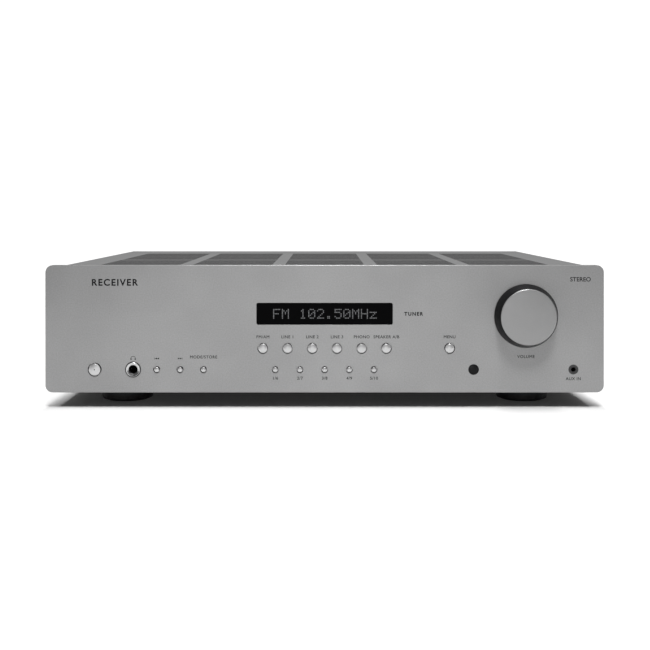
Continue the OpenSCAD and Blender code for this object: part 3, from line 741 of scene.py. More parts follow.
def wall(
    bm: bmesh.types.BMesh, one: Sequence[bmesh.types.BMVert], other: Sequence[bmesh.types.BMVert]
) -> None:
    """Joins two rings of corners by a closed wall."""
    for i in range(len(one)):
        j = (i + 1) % len(one)
        bm.faces.new([one[i], one[j], other[j], other[i]])


def off_axis(face: bmesh.types.BMFace, centre: Vector) -> float:
    """Gives how far a face's middle is from an axis along Y."""
    at = face.calc_center_median()
    return math.hypot(at.x - centre.x, at.z - centre.z)


def split_by(bm: bmesh.types.BMesh, second: Callable[[bmesh.types.BMFace], bool]) -> None:
    """Gives the second material slot to some of a mesh's faces.

    Args:
        bm: The mesh.
        second: Tells whether a face takes the second slot.
    """
    bm.normal_update()
    for face in bm.faces:
        face.material_index = int(second(face))


def joined(meshes: Iterable[bpy.types.Mesh]) -> bpy.types.Mesh:
    """Joins meshes into one, keeping their shading.

    Args:
        meshes: The meshes to join.

    Returns:
        The joined mesh, without materials.
    """
    bm = bmesh.new()
    for mesh in meshes:
        bm.from_mesh(mesh)
        bpy.data.meshes.remove(mesh)
    mesh = bpy.data.meshes.new("joined")
    bm.to_mesh(mesh)
    bm.free()
    return mesh


def rounded_box(low: Vector, high: Vector, radius: float, segments: int = 2) -> bmesh.types.BMesh:
    """Makes a box with rounded edges.

    Args:
        low: Its lowest corner.
        high: Its highest corner.
        radius: Radius of its edges.
        segments: Steps across an edge.

    Returns:
        The box.
    """
    bm = bmesh.new()
    size = high - low
    place = Matrix.Translation((low + high) / 2) @ Matrix.Diagonal((*size, 1.0))
    bmesh.ops.create_cube(bm, size=1.0, matrix=place)
    bmesh.ops.bevel(
        bm, geom=list(bm.edges), offset=radius, segments=segments, affect="EDGES", profile=0.5
    )
    return bm


# ---------------------------------------------------------------- geometry node trees


class Tree(Nodes):
    """A geometry node tree with named inputs, built for one pattern."""

    def __init__(self, name: str) -> None:
        """Starts a tree.

        Args:
            name: The tree's name.
        """
        super().__init__(bpy.data.node_groups.new(name, "GeometryNodeTree"))
        self.ids: dict[str, str] = {}
        self._socket("Geometry", "INPUT", "NodeSocketGeometry")
        self._socket("Geometry", "OUTPUT", "NodeSocketGeometry")
        self.start = self.node("NodeGroupInput")
        self.end = self.node("NodeGroupOutput")

    def _socket(self, name: str, way: str, kind: str) -> bpy.types.NodeTreeInterfaceSocket:
        """Adds an interface socket to the tree."""
        return self.tree.interface.new_socket(name=name, in_out=way, socket_type=kind)

    def number(self, name: str, whole: bool = False) -> Socket:
        """Adds a named number input.

        Args:
            name: The input's name.
            whole: True for a whole number.

        Returns:
            The socket inside the tree.
        """
        made = self._socket(name, "INPUT", "NodeSocketInt" if whole else "NodeSocketFloat")
        self.ids[name] = made.identifier
        return self.start.outputs[name]

    def finish(self, geometry: Socket, finish: Finish) -> None:
        """Ends the tree in realised instances with a material.

        Args:
            geometry: What the tree has made.
            finish: Its material.
        """
        real = self.node("GeometryNodeRealizeInstances")
        paint = self.node("GeometryNodeSetMaterial")
        paint.inputs["Material"].default_value = finish.material()
        self.link(geometry, real.inputs[0])
        self.link(real.outputs[0], paint.inputs["Geometry"])
        self.link(paint.outputs[0], self.end.inputs[0])

    def run(self, mesh: bpy.types.Mesh, values: dict[str, float]) -> bpy.types.Mesh:
        """Runs the tree over a mesh.

        Args:
            mesh: The mesh it starts from.
            values: The value of each named input.

        Returns:
            The plain mesh that it makes.
        """
        holder = linked("pattern", mesh)
        modifier = holder.modifiers.new("pattern", "NODES")
        modifier.node_group = self.tree
        for name, value in values.items():
            modifier[self.ids[name]] = value
        return evaluated(holder)


def points(places: Iterable[Vector]) -> bpy.types.Mesh:
    """Makes a mesh of loose vertices for a tree to put copies on."""
    mesh = bpy.data.meshes.new("points")
    mesh.from_pydata([tuple(p) for p in places], [], [])
    return mesh


def copies_tree(name: str, model: bpy.types.Mesh, finish: Finish) -> Tree:
    """Builds a tree that puts one copy of a model on each point.

    Args:
        name: The tree's name.
        model: What is copied, made at the origin.
        finish: The copies' material.

    Returns:
        The tree, with the input Size, a factor on the model.
    """
    tree = Tree(name)
    size = tree.number("Size")
    holder = bpy.data.objects.new(f"{name}_model", model)
    info = tree.node("GeometryNodeObjectInfo")
    info.inputs["Object"].default_value = holder
    spread = tree.node("GeometryNodeInstanceOnPoints")
    tree.link(tree.start.outputs["Geometry"], spread.inputs["Points"])
    tree.link(info.outputs["Geometry"], spread.inputs["Instance"])
    tree.link(tree.vector(size, size, size), spread.inputs["Scale"])
    tree.finish(spread.outputs["Instances"], finish)
    return tree


# ---------------------------------------------------------------- lettering


CAPITAL = 0.694  # height of a capital, as a share of the type's size
OUTLINE_STEPS = 6
OUTLINE_MERGED = 0.012 * MM  # outline points closer than this become one
INK_LIFT = 0.002 * MM  # space between print and the face under it
INK_DEPTH = 0.024 * MM
LEAST_MITRE = 0.6  # keeps thickened corners from running out to a spike
LEAST_TURN = 1e-4  # where two outlines point straight apart, a corner stays put


class Align(Enum):
    """Which end of a label stays at its place."""

    LEFT = "LEFT"
    CENTRE = "CENTER"
    RIGHT = "RIGHT"


@dataclass(frozen=True)
class Label:
    """One printed word or number.

    Attributes:
        text: What it says.
        x: Where it is, left to right.
        z: Height of its baseline.
        height: Height of its capitals.
        align: Which end stays at x.
        spread: Space between letters, 1 for the usual.
        bold: How much its strokes are thickened, in metres.
    """

    text: str
    x: float
    z: float
    height: float
    align: Align = Align.CENTRE
    spread: float = 1.0
    bold: float = 0.0

    def mesh(self, y: float, facing: int = -1) -> bpy.types.Mesh:
        """Makes the label as a thin solid on an upright face.

        Args:
            y: The face that it is printed on.
            facing: -1 if it is read from the front, 1 from the rear.

        Returns:
            The label's mesh in its place.
        """
        curve = bpy.data.curves.new("label", "FONT")
        curve.body = self.text
        curve.align_x = self.align.value
        curve.space_character = self.spread
        curve.size = self.height / CAPITAL
        curve.resolution_u = OUTLINE_STEPS
        mesh = evaluated(linked("lettering", curve))
        stand = Matrix.Rotation(math.radians(90), 4, "X")
        turn = Matrix.Rotation(math.pi, 4, "Z") if facing > 0 else Matrix.Identity(4)
        place = Matrix.Translation((self.x, y + facing * INK_LIFT, self.z))
        bm = bmesh.new()
        bm.from_mesh(mesh)
        bmesh.ops.remove_doubles(bm, verts=bm.verts, dist=OUTLINE_MERGED)
        self._thicken(bm)
        raise_flat(bm, (0.0, 0.0, INK_DEPTH))
        bm.transform(place @ turn @ stand)
        bm.to_mesh(mesh)
        bm.free()
        return mesh

    def _thicken(self, bm: bmesh.types.BMesh) -> None:
        """Moves the outlines of flat letters outwards.

        Args:
            bm: The letters, flat and facing up.
        """
        outward: dict[bmesh.types.BMVert, list[Vector]] = {}
        for edge in bm.edges:
            if len(edge.link_loops) != 1:
                continue
            loop = edge.link_loops[0]
            run = (loop.link_loop_next.vert.co - loop.vert.co).normalized()
            away = Vector((run.y, -run.x, 0.0)) * math.copysign(1.0, loop.face.normal.z)
            for vert in edge.verts:
                outward.setdefault(vert, []).append(away)
        for vert, ways in outward.items():
            mean = sum(ways, Vector((0.0, 0.0, 0.0)))
            if mean.length > LEAST_TURN:
                mean.normalize()
                vert.co += mean * self.bold / max(mean.dot(ways[0]), LEAST_MITRE)


def print_labels(
    name: str, labels: Iterable[Label], y: float, finish: Finish, facing: int = -1
) -> None:
    """Prints labels on one upright face as one piece.

    Args:
        name: The piece's name.
        labels: The labels.
        y: The face.
        finish: The ink.
        facing: -1 if they are read from the front, 1 from the rear.
    """
    put(name, joined(label.mesh(y, facing) for label in labels), finish)


# ---------------------------------------------------------------- front panel


SOURCES = (
    ("tuner_button", "FM/AM"),
    ("input_1_button", "LINE 1"),
    ("input_2_button", "LINE 2"),
    ("input_3_button", "LINE 3"),
    ("phono_button", "PHONO"),
    ("speaker_select_button", "SPEAKER A/B"),
    ("menu_button", "MENU"),
)
PRESETS = tuple((f"preset_{i}_button", f"{i}/{i + 5}") for i in range(1, 6))
TUNING = ("skip_back_button", "skip_forward_button", "mode_store_button")

# Dot characters, seven rows of five dots each, top row first
GLYPHS = {
    "F": ("11111", "10000", "10000", "11110", "10000", "10000", "10000"),
    "M": ("10001", "11011", "10101", "10101", "10001", "10001", "10001"),
    "0": ("01110", "10001", "10011", "10101", "11001", "10001", "01110"),
    "1": ("00100", "01100", "00100", "00100", "00100", "00100", "01110"),
    "2": ("01110", "10001", "00001", "00010", "00100", "01000", "11111"),
    "5": ("11111", "10000", "11110", "00001", "00001", "10001", "01110"),
    "H": ("10001", "10001", "10001", "11111", "10001", "10001", "10001"),
    "z": ("00000", "00000", "11111", "00010", "00100", "01000", "11111"),
    ".": ("00000", "00000", "00000", "00000", "00000", "01100", "01100"),
    " ": ("00000",) * 7,
}


@dataclass
class FrontPanel:
    """The thick metal panel, its print, its window and the lit display.

    Attributes:
        edge: Width of the rounded edge all round the panel.
        hole_edge: Width of the rounding round the holes, as a share of that.
        rim: Width of the band that counts as the panel's outer edge.
        eye_dome: Rise of the remote-control window's face.
        eye_flange: How much wider that window's flange is than its face, all round.
        eye_back: Thickness of that flange.
        text: What the display shows.
        cell: Pitch of the display's characters.
        dot_pitch: Pitch of the dots within a character.
        dot_rise: Vertical pitch of the dots.
        dot: Size of one dot.
        dot_gap: Space between the window's face and the middle of a dot.
        first_cell: Where the first character's left edge is.
        small: Height of the small lettering's capitals.
        beside: Height of the capitals beside the window.
        medium: Height of the capitals at the right.
        large: Height of the large lettering's capitals.
        spread: Space between the small letters, 1 for the usual.
        stroke: How much the small lettering's strokes are thickened.
        bold: How much the large lettering's strokes are thickened.
        large_place: The large word's distance from the panel's left edge and top.
        medium_place: The right-hand word's distance from the right edge and top.
        beside_gap: Space between the window and the word beside it.
        ink_gap: Space from a button's centre to the baseline over or under it.
        store_gap: The same over the mode/store button.
        knob_gap: Space from the knob's lowest point down to its baseline.
        aux_gap: Space from the auxiliary socket's centre down to its baseline.
        skip_gap: Space from a skip button's centre up to its sign.
        phones_gap: Space from the headphone socket's centre up to its sign.
    """

    edge: float = 0.7 * MM
    hole_edge: float = 0.25
    rim: float = 6.0 * MM
    eye_dome: float = 0.28 * MM
    eye_flange: float = 1.5 * MM
    eye_back: float = 3.0 * MM
    text: str = "FM 102.50MHz"
    cell: float = 6.76 * MM
    dot_pitch: float = 1.14 * MM
    dot_rise: float = 1.1 * MM
    dot: float = 0.74 * MM
    dot_gap: float = 0.03 * MM
    first_cell: float = -39.8 * MM
    small: float = 2.2 * MM
    beside: float = 2.6 * MM
    medium: float = 3.2 * MM
    large: float = 4.9 * MM
    spread: float = 1.12
    stroke: float = 0.05 * MM
    bold: float = 0.2 * MM
    large_place: tuple[float, float] = (35.5 * MM, 15.6 * MM)
    medium_place: tuple[float, float] = (10.0 * MM, 12.4 * MM)
    beside_gap: float = 6.0 * MM
    ink_gap: float = 7.7 * MM
    store_gap: float = 8.6 * MM
    knob_gap: float = 7.9 * MM
    aux_gap: float = 8.1 * MM
    skip_gap: float = 8.5 * MM
    phones_gap: float = 8.4 * MM
    face: float = field(init=False)

    def __post_init__(self) -> None:
        """Reads where the panel's face is."""
        self.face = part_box("front_panel")[0][1]

    def build(self) -> None:
        """Makes the panel and all that is printed or lit on it."""
        self._panel()
        dressed_copy("display_window", BLACK_GLASS, 0.2 * MM)
        self._eye()
        self._dots()
        self._print()

    def _panel(self) -> None:
        """Makes the panel: a rounded outline, crisp holes, and hole walls painted near-black as the
        shade inside the holes.
        """
        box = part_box("front_panel")

        def share(at: Vector) -> float:
            """Gives the share of the rounding that an edge gets."""
            return self.hole_edge if self._within(at, box) else 1.0

        def shaded_hole_wall(face: bmesh.types.BMFace) -> bool:
            """Tells whether a face is the wall of a hole, which takes painted shade."""
            return abs(face.normal.y) < 0.3 and self._within(face.calc_center_median(), box)

        mesh = rounded_copy("front_panel", self.edge, 3, share)
        bm = bmesh.new()
        bm.from_mesh(mesh)
        # The hole walls take near-black plastic as painted shade for the shadowed gap round each
        # button and socket
        split_by(bm, shaded_hole_wall)
        bm.to_mesh(mesh)
        bm.free()
        paint(mesh, ANODISED, BLACK_PLASTIC_AND_SHADE)
        put("front_panel_made", mesh, ANODISED, CHASSIS, ["front_panel"])

    def _within(self, at: Vector, box: Sequence[Vector]) -> bool:
        """Tells whether a point lies inside the panel's outer band."""
        low, high = box
        return all(low[i] + self.rim < at[i] < high[i] - self.rim for i in (0, 2))

    def _eye(self) -> None:
        """Makes the round remote-control window with a faintly domed face."""
        low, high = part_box("ir_window")
        flange, depth = (high[0] - low[0]) / 2, high[1] - low[1]
        r, step = flange - self.eye_flange, depth - self.eye_back
        face = [(x, y - self.eye_dome) for x, y in dome(r, self.eye_dome, r, 8)]
        profile = face + [(r, step), (flange, step), (flange, depth), (0.0, depth)]
        mesh = to_mesh(lathe(profile, end_point("ir_window"), 48, 1))
        put("ir_window_made", mesh, EYE_GLASS, CHASSIS, ["ir_window"])

    def _dots(self) -> None:
        """Lights the display's dots on the window's face."""
        low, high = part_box("display_window")
        y = low[1] - self.dot_gap
        top = (low[2] + high[2]) / 2 + 3 * self.dot_rise
        places = []
        for i, letter in enumerate(self.text):
            for row, line in enumerate(GLYPHS[letter]):
                for column, lit in enumerate(line):
                    if lit == "1":
                        x = self.first_cell + i * self.cell + (column + 0.5) * self.dot_pitch
                        places.append(Vector((x, y, top - row * self.dot_rise)))
        corner = Vector((0.5, 0.02, 0.5)) * MM  # of a dot of 1 mm
        dot = to_mesh(rounded_box(-corner, corner, 0.015 * MM, 1))
        tree = copies_tree("display_dots", dot, DOT_GLOW)
        put("display_dots", tree.run(points(places), {"Size": self.dot / MM}), DOT_GLOW)

    def _labels(self) -> list[Label]:
        """Lists the lettering on the panel.

        Returns:
            The labels.
        """
        low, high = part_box("front_panel")
        large_x, large_z = low[0] + self.large_place[0], high[2] - self.large_place[1]
        medium_x, medium_z = high[0] - self.medium_place[0], high[2] - self.medium_place[1]
        beside_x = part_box("display_window")[1][0] + self.beside_gap
        beside_z = middle("display_window").z - self.beside / 2
        labels = [
            Label("RECEIVER", large_x, large_z, self.large, Align.LEFT, 1.22, self.bold),
            Label("STEREO", medium_x, medium_z, self.medium, Align.RIGHT, 1.0, 0.4 * self.bold),
            Label("TUNER", beside_x, beside_z, self.beside, Align.LEFT, 1.3, 0.8 * self.bold),
        ]
        store, knob, aux = (middle(n) for n in ("mode_store_button", "volume_knob", "aux_socket"))
        small = [
            ("MODE/STORE", store.x, store.z + self.store_gap),
            ("VOLUME", knob.x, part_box("volume_knob")[0][2] - self.knob_gap),
            ("AUX IN", aux.x, aux.z - self.aux_gap),
        ]
        for controls, gap in ((SOURCES, self.ink_gap), (PRESETS, -self.ink_gap)):
            small += [(text, middle(node).x, middle(node).z + gap) for node, text in controls]
        for text, x, z in small:
            labels.append(Label(text, x, z, self.small, spread=self.spread, bold=self.stroke))
        return labels

    def _print(self) -> None:
        """Prints the lettering and the small signs."""
        print_labels("panel_lettering", self._labels(), self.face, LEGEND)
        flat = bmesh.new()
        for node, way in (("skip_back_button", -1), ("skip_forward_button", 1)):
            at = middle(node)
            self._skip_sign(flat, at.x, at.z + self.skip_gap, way)
        phones = middle("headphone_socket")
        self._phones_sign(flat, phones.x, phones.z + self.phones_gap)
        raise_flat(flat, (0.0, -INK_DEPTH, 0.0))
        put("panel_signs", to_mesh(flat), LEGEND)

    def _flat(self, bm: bmesh.types.BMesh, outline: Profile) -> None:
        """Adds one flat outline, given in X and Z, on the panel's face."""
        y = self.face - INK_LIFT
        bm.faces.new([bm.verts.new((x, y, z)) for x, z in outline])

    def _skip_sign(self, bm: bmesh.types.BMesh, x: float, z: float, way: int) -> None:
        """Adds two arrow heads and a bar.

        Args:
            bm: The mesh to add to.
            x: The sign's centre.
            z: The sign's middle height.
            way: 1 to point right, -1 to point left.
        """
        half, head, left, bar = 0.72 * MM, 1.5 * MM, -1.75 * MM, (1.35 * MM, 1.7 * MM)
        for start in (left, left + head):
            tip = (x + way * (start + head), z)
            self._flat(bm, [(x + way * start, z - half), tip, (x + way * start, z + half)][::way])
        a, b = (x + way * end for end in bar)
        self._flat(bm, [(a, z - half), (b, z - half), (b, z + half), (a, z + half)])

    def _phones_sign(self, bm: bmesh.types.BMesh, x: float, z: float) -> None:
        """Adds a headband arc with two ear cups.

        Args:
            bm: The mesh to add to.
            x: The sign's centre.
            z: Height of the cups' middle.
        """
        r, band, steps = 1.6 * MM, 0.35 * MM, 16
        outer = arc((x, z), r + band, 0, 180, steps)
        inner = arc((x, z), r, 0, 180, steps)
        for i in range(steps):
            self._flat(bm, [outer[i], outer[i + 1], inner[i + 1], inner[i]])
        half, top, bottom = 0.42 * MM, z + 0.2 * MM, z - 0.95 * MM
        for cup in (x - r, x + r):
            left, right = cup - half, cup + half
            self._flat(bm, [(left, bottom), (right, bottom), (right, top), (left, top)])


# ---------------------------------------------------------------- controls


@dataclass
class Buttons:
    """The sixteen push buttons: domed satin caps whose rim edges and flanks are painted near-black as
    the shade in the gap round them, a flange and a stem behind.

    Attributes:
        dome: Rise of the cap's face.
        fillet: Radius of the cap's rim.
        inset: How much smaller the cap's radius is than the flange's.
        flange: Thickness of the flange behind the panel.
        recess: How far ahead of the panel's back the flange starts.
        stem: Radius of the stem behind a cap of no width.
        stem_share: What share of the cap's radius is added to it.
        light: Radius of the standby light.
    """

    dome: float = 0.55 * MM
    fillet: float = 0.35 * MM
    inset: float = 1.9 * MM
    flange: float = 1.0 * MM
    recess: float = 2.8 * MM
    stem: float = 0.3 * MM
    stem_share: float = 0.36
    light: float = 0.5 * MM

    def names(self) -> list[str]:
        """Lists the buttons' nodes."""
        named = [n for n, _ in SOURCES] + [n for n, _ in PRESETS]
        return ["standby_button", *TUNING, *named]

    def build(self) -> None:
        """Makes every button, and the standby light."""
        for node in self.names():
            self._button(node)
        self._light()

    def _button(self, node: str) -> None:
        """Makes one button.

        Args:
            node: The button's node and body.
        """
        low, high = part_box(node)
        flange_r, length = (high[0] - low[0]) / 2, high[1] - low[1]
        cap_r = flange_r - self.inset
        stem_r = self.stem_share * cap_r + self.stem
        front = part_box("front_panel")[1][1] - self.recess - low[1]
        back = front + self.flange
        face = dome(cap_r, self.dome, cap_r - self.fillet, 10)
        rim_at = (cap_r - self.fillet, face[-1][1] + self.fillet)
        profile = (
            face + arc(rim_at, self.fillet, -80, 0, 5)
            + [(cap_r, front), (flange_r, front), (flange_r, back)]
            + [(stem_r, back), (stem_r, length), (0.0, length)]
        )
        bm = lathe(profile, end_point(node), 56, 1)
        # All but the cap's face is painted near-black: painted shade for the dark gap round the cap
        split_by(bm, lambda face: face.normal.y > -0.8)
        mesh = to_mesh(bm, 40)
        paint(mesh, SILVERED, BLACK_STEEL_AND_SHADE)
        put(f"{node}_made", mesh, SILVERED, node, [node])

    def _light(self) -> None:
        """Sets a pin-point light into the standby button's face."""
        r, proud, sunk = self.light, 0.05 * MM, -0.3 * MM
        profile = [(0.0, proud), (0.8 * r, 0.6 * proud), (r, -0.4 * proud), (r, sunk), (0.0, sunk)]
        mesh = to_mesh(lathe(profile, end_point("standby_button"), 24))
        put("standby_light", mesh, DISPLAY_GLASS, "standby_button")


@dataclass
class VolumeControl:
    """The conical knob with its turned face, and the encoder behind the panel.

    Attributes:
        skirt: Height of the straight rim at the base.
        chamfer: Width of the base's broken edge.
        taper: How much smaller the face's radius is than the base's.
        fillet: Radius of the face's edge.
        dome: Rise of the face towards its middle.
        hollow: Depth of the space inside the knob.
        wall: Thickness of the flank at the base.
        root: The same where the hollow ends, counted from the base's radius.
        hub: Radius of the hub.
        bore: Radius of the hub's bore.
        seat: Depth of that bore.
    """

    skirt: float = 0.7 * MM
    chamfer: float = 0.25 * MM
    taper: float = 3.1 * MM
    fillet: float = 0.8 * MM
    dome: float = 0.4 * MM
    hollow: float = 9.0 * MM
    wall: float = 3.0 * MM
    root: float = 4.4 * MM
    hub: float = 6.5 * MM
    bore: float = 3.0 * MM
    seat: float = 1.0 * MM

    def build(self) -> None:
        """Makes the knob and dresses the encoder and its shaft."""
        low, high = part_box("volume_knob")
        centre = end_point("volume_knob", rear=True)
        base_r, height = (high[0] - low[0]) / 2, high[1] - low[1]
        slope = math.degrees(math.atan2(self.taper, height - self.skirt))
        flat_r = base_r - self.taper - self.fillet
        crown = height - self.dome
        rim = arc((flat_r, crown - self.fillet), self.fillet, slope / 2, 90, 7)
        shares = [i / 5 for i in range(4, -1, -1)]
        face = [(share * flat_r, height - self.dome * share**2) for share in shares]
        profile = (
            [(self.bore, 0.0), (self.hub, 0.0), (self.hub, self.hollow)]
            + [(base_r - self.root, self.hollow), (base_r - self.wall, 0.0)]
            + [(base_r - self.chamfer, 0.0), (base_r, self.chamfer), (base_r, self.skirt)]
            + rim + face
            + [(0.0, self.seat), (self.bore, self.seat)]
        )
        bm = lathe(profile, centre, 160)
        split_by(bm, lambda face: self._on_flank(face, centre, flat_r))
        mesh = to_mesh(bm, 30)
        paint(mesh, TURNED_FACE, SATIN_BLACK)
        put("volume_knob_made", mesh, TURNED_FACE, "volume_knob", ["volume_knob"])
        dress(["encoder_shaft", "volume_encoder"], ZINC)

    @staticmethod
    def _on_flank(face: bmesh.types.BMFace, centre: Vector, inner: float) -> bool:
        """Tells whether a face belongs to the knob's dark flank or its inside.

        Args:
            face: A face of the knob.
            centre: The middle of the knob's back.
            inner: Radius inside which the metal face lies.

        Returns:
            True on the flank and inside the knob.
        """
        facing = face.normal.y
        return facing > -0.5 or (off_axis(face, centre) < inner and facing > -0.9)


@dataclass
class FrontSockets:
    """The headphone and auxiliary sockets.

    Attributes:
        throat: Radius of the headphone nut's bore.
        mouth: Radius of its coned mouth, at the bottom of the cone.
        cone: Depth of the cone.
        lip: How much smaller the nut's barrel is than its flange.
    """

    throat: float = 4.4 * MM
    mouth: float = 3.3 * MM
    cone: float = 1.0 * MM
    lip: float = 0.7 * MM

    def build(self) -> None:
        """Makes the sockets and the headphone socket's bright nut."""
        self._nut()
        dressed_copy("headphone_socket", BLACK_PLASTIC_AND_SHADE, 0.15 * MM)
        dressed_copy("aux_socket", BLACK_PLASTIC_AND_SHADE, 0.25 * MM)
        for node, bore, depth in (("headphone_socket", 3.2, 12.0), ("aux_socket", 1.8, 6.0)):
            self._contact(node, bore * MM, depth * MM)

    def _nut(self) -> None:
        """Turns the chromed nut with its coned mouth."""
        low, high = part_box("headphone_nut")
        centre = end_point("headphone_nut", rear=True)
        flange, h = (high[0] - low[0]) / 2, high[1] - low[1]
        body, floor = flange - self.lip, h - self.cone
        profile = [
            (self.throat, 0.0), (flange, 0.0), (flange, h - 0.5 * MM), (body + 0.1 * MM, h - 0.4 * MM),
            (body, h - 0.12 * MM), (body - 0.15 * MM, h), (body - 0.4 * MM, h - 0.02 * MM),
            (self.mouth + 0.25 * MM, h - 0.6 * MM), (self.mouth, floor), (self.throat, floor),
        ]
        bm = lathe(profile, centre, 72)
        split_by(bm, lambda face: off_axis(face, centre) > body + 0.05 * MM)
        mesh = to_mesh(bm)
        paint(mesh, CHROMED, BLACK_STEEL_AND_SHADE)
        put("headphone_nut_made", mesh, CHROMED, CHASSIS, ["headphone_nut"])

    @staticmethod
    def _contact(node: str, bore: float, depth: float) -> None:
        """Adds the contact ring that shows inside a socket's bore.

        Args:
            node: The socket's node.
            bore: The bore's radius.
            depth: How deep the ring lies.
        """
        centre = end_point(node) + Vector((0.0, depth, 0.0))
        outer, inner = 0.995 * bore, 0.93 * bore
        profile = [(outer, 0.0), (outer, 1.2 * MM), (inner, 1.0 * MM), (inner, 0.2 * MM)]
        put(f"{node}_contact", to_mesh(lathe(profile, centre, 40)), CHROMED)


# ---------------------------------------------------------------- case


@dataclass
class Cover:
    """The slotted steel cover, bent from one sheet.

    Attributes:
        sheet: Thickness of the sheet.
        bend: Outer radius of its two bends.
        blocks: Vent blocks across.
        block_pitch: Distance between the blocks' centres.
        block_width: Width of one block.
        places: Places for a slot in one block, front to back.
        plain: Which of those places stays plain, counted from the front.
        slot: Width of one slot, front to back.
        vent_start: Front end of the vents, from the panel's face.
        vent_end: Rear end of the vents, from the panel's face.
        lip: Height of the rear lip.
    """

    sheet: float = 1.0 * MM
    bend: float = 5.0 * MM
    blocks: int = 5
    block_pitch: float = 72.0 * MM
    block_width: float = 62.0 * MM
    places: int = 36
    plain: int = 14
    slot: float = 4.2 * MM
    vent_start: float = 14.0 * MM
    vent_end: float = 239.0 * MM
    lip: float = 10.0 * MM

    def build(self) -> None:
        """Makes the cover and its screws."""
        pitch = (self.vent_end - self.vent_start - self.slot) / (self.places - 1)
        sheet = self._sheet()
        tree = self._vent_tree()
        mesh = tree.run(
            sheet,
            {
                "Front slots": self.plain - 1,
                "Rear slots": self.places - self.plain,
                "Slot pitch": pitch,
                "Rear start": self.plain * pitch,
                "Blocks": self.blocks,
                "Block pitch": self.block_pitch,
                "Front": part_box("front_panel")[0][1] + self.vent_start,
                "Top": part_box("top_cover")[1][2],
            },
        )
        self._paint_slot_wall_shade(mesh)
        put("top_cover_made", mesh, CASE_PAINT, CHASSIS, ["top_cover"])
        dressed_copy("case_screws", BLACK_STEEL_AND_SHADE, 0.12 * MM)

    def _outline(self, inset: float, foot: float) -> list[tuple[float, float]]:
        """Gives a section from the left skirt over the top to the right one.

        Args:
            inset: How far inside the outer surface the line runs.
            foot: Height at which both ends stop.

        Returns:
            Points in X and Z.
        """
        _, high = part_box("top_cover")
        half, top, r = high[0] - inset, high[2] - inset, self.bend - inset
        left = arc((-half + r, top - r), r, 180, 90, 8)
        right = arc((half - r, top - r), r, 90, 0, 8)
        return [(-half, foot)] + left + right + [(half, foot)]

    def _sheet(self) -> bpy.types.Mesh:
        """Bends the plain sheet, with its rear lip.

        Returns:
            The closed sheet.
        """
        low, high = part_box("top_cover")
        outer, inner = self._outline(0.0, low[2]), self._outline(self.sheet, low[2])
        loop = outer + inner[::-1]
        bm = bmesh.new()
        rings = [[bm.verts.new((x, y, z)) for x, z in loop] for y in (low[1], high[1])]
        wall(bm, *rings)
        n = len(loop)
        for ring in rings:
            for i in range(len(outer) - 1):
                bm.faces.new([ring[i], ring[i + 1], ring[n - 2 - i], ring[n - 1 - i]])
        bmesh.ops.recalc_face_normals(bm, faces=bm.faces)
        section = self._outline(self.sheet, high[2] - self.lip)
        lip = bmesh.new()
        ends = [
            lip.faces.new([lip.verts.new((x, y, z)) for x, z in section])
            for y in (high[1] - self.sheet, high[1])
        ]
        wall(lip, *(list(end.verts) for end in ends))
        bmesh.ops.recalc_face_normals(lip, faces=lip.faces)
        return joined([to_mesh(bm), to_mesh(lip)])

    def _slot_cutter(self) -> bpy.types.Mesh:
        """Makes the cutter for one slot, with its front left corner at the origin.

        Returns:
            The cutter's mesh.
        """
        low = Vector((0.0, 0.0, -2 * self.sheet))
        high = Vector((self.block_width, self.slot, self.sheet))
        return to_mesh(rounded_box(low, high, 0.3 * MM, 1))

    def _vent_tree(self) -> Tree:
        """Builds the tree that cuts the slots.

        Returns:
            The tree, with inputs for the counts, the pitches and the place.
        """
        tree = Tree("cover_vents")
        counts = (tree.number("Front slots", True), tree.number("Rear slots", True))
        pitch, rear_start = tree.number("Slot pitch"), tree.number("Rear start")
        blocks, block_pitch = tree.number("Blocks", True), tree.number("Block pitch")
        front, top = tree.number("Front"), tree.number("Top")
        width = tree.maths("MULTIPLY", tree.maths("SUBTRACT", blocks, 1.0), block_pitch)
        left = tree.maths("MULTIPLY", width, -0.5)
        left = tree.maths("SUBTRACT", left, self.block_width / 2)
        rows = tree.node("GeometryNodeJoinGeometry")
        for count, start in zip(counts, (0.0, rear_start)):
            row = tree.node("GeometryNodeMeshLine", mode="OFFSET")
            tree.link(count, row.inputs["Count"])
            tree.link(tree.vector(0.0, start, 0.0), row.inputs["Start Location"])
            tree.link(tree.vector(0.0, pitch, 0.0), row.inputs["Offset"])
            tree.link(row.outputs[0], rows.inputs[0])
        across = tree.node("GeometryNodeMeshLine", mode="OFFSET")
        tree.link(blocks, across.inputs["Count"])
        tree.link(tree.vector(left, front, top), across.inputs["Start Location"])
        tree.link(tree.vector(block_pitch, 0.0, 0.0), across.inputs["Offset"])
        cutter = bpy.data.objects.new("slot_cutter", self._slot_cutter())
        info = tree.node("GeometryNodeObjectInfo")
        info.inputs["Object"].default_value = cutter
        geometry = info.outputs["Geometry"]
        for line in (rows, across):
            spread = tree.node("GeometryNodeInstanceOnPoints")
            tree.link(line.outputs[0], spread.inputs["Points"])
            tree.link(geometry, spread.inputs["Instance"])
            geometry = spread.outputs["Instances"]
        real = tree.node("GeometryNodeRealizeInstances")
        tree.link(geometry, real.inputs[0])
        cut = tree.node("GeometryNodeMeshBoolean", operation="DIFFERENCE")
        tree.link(tree.start.outputs["Geometry"], cut.inputs[0])
        tree.link(real.outputs[0], cut.inputs[1])
        tree.finish(cut.outputs[0], CASE_PAINT)
        return tree

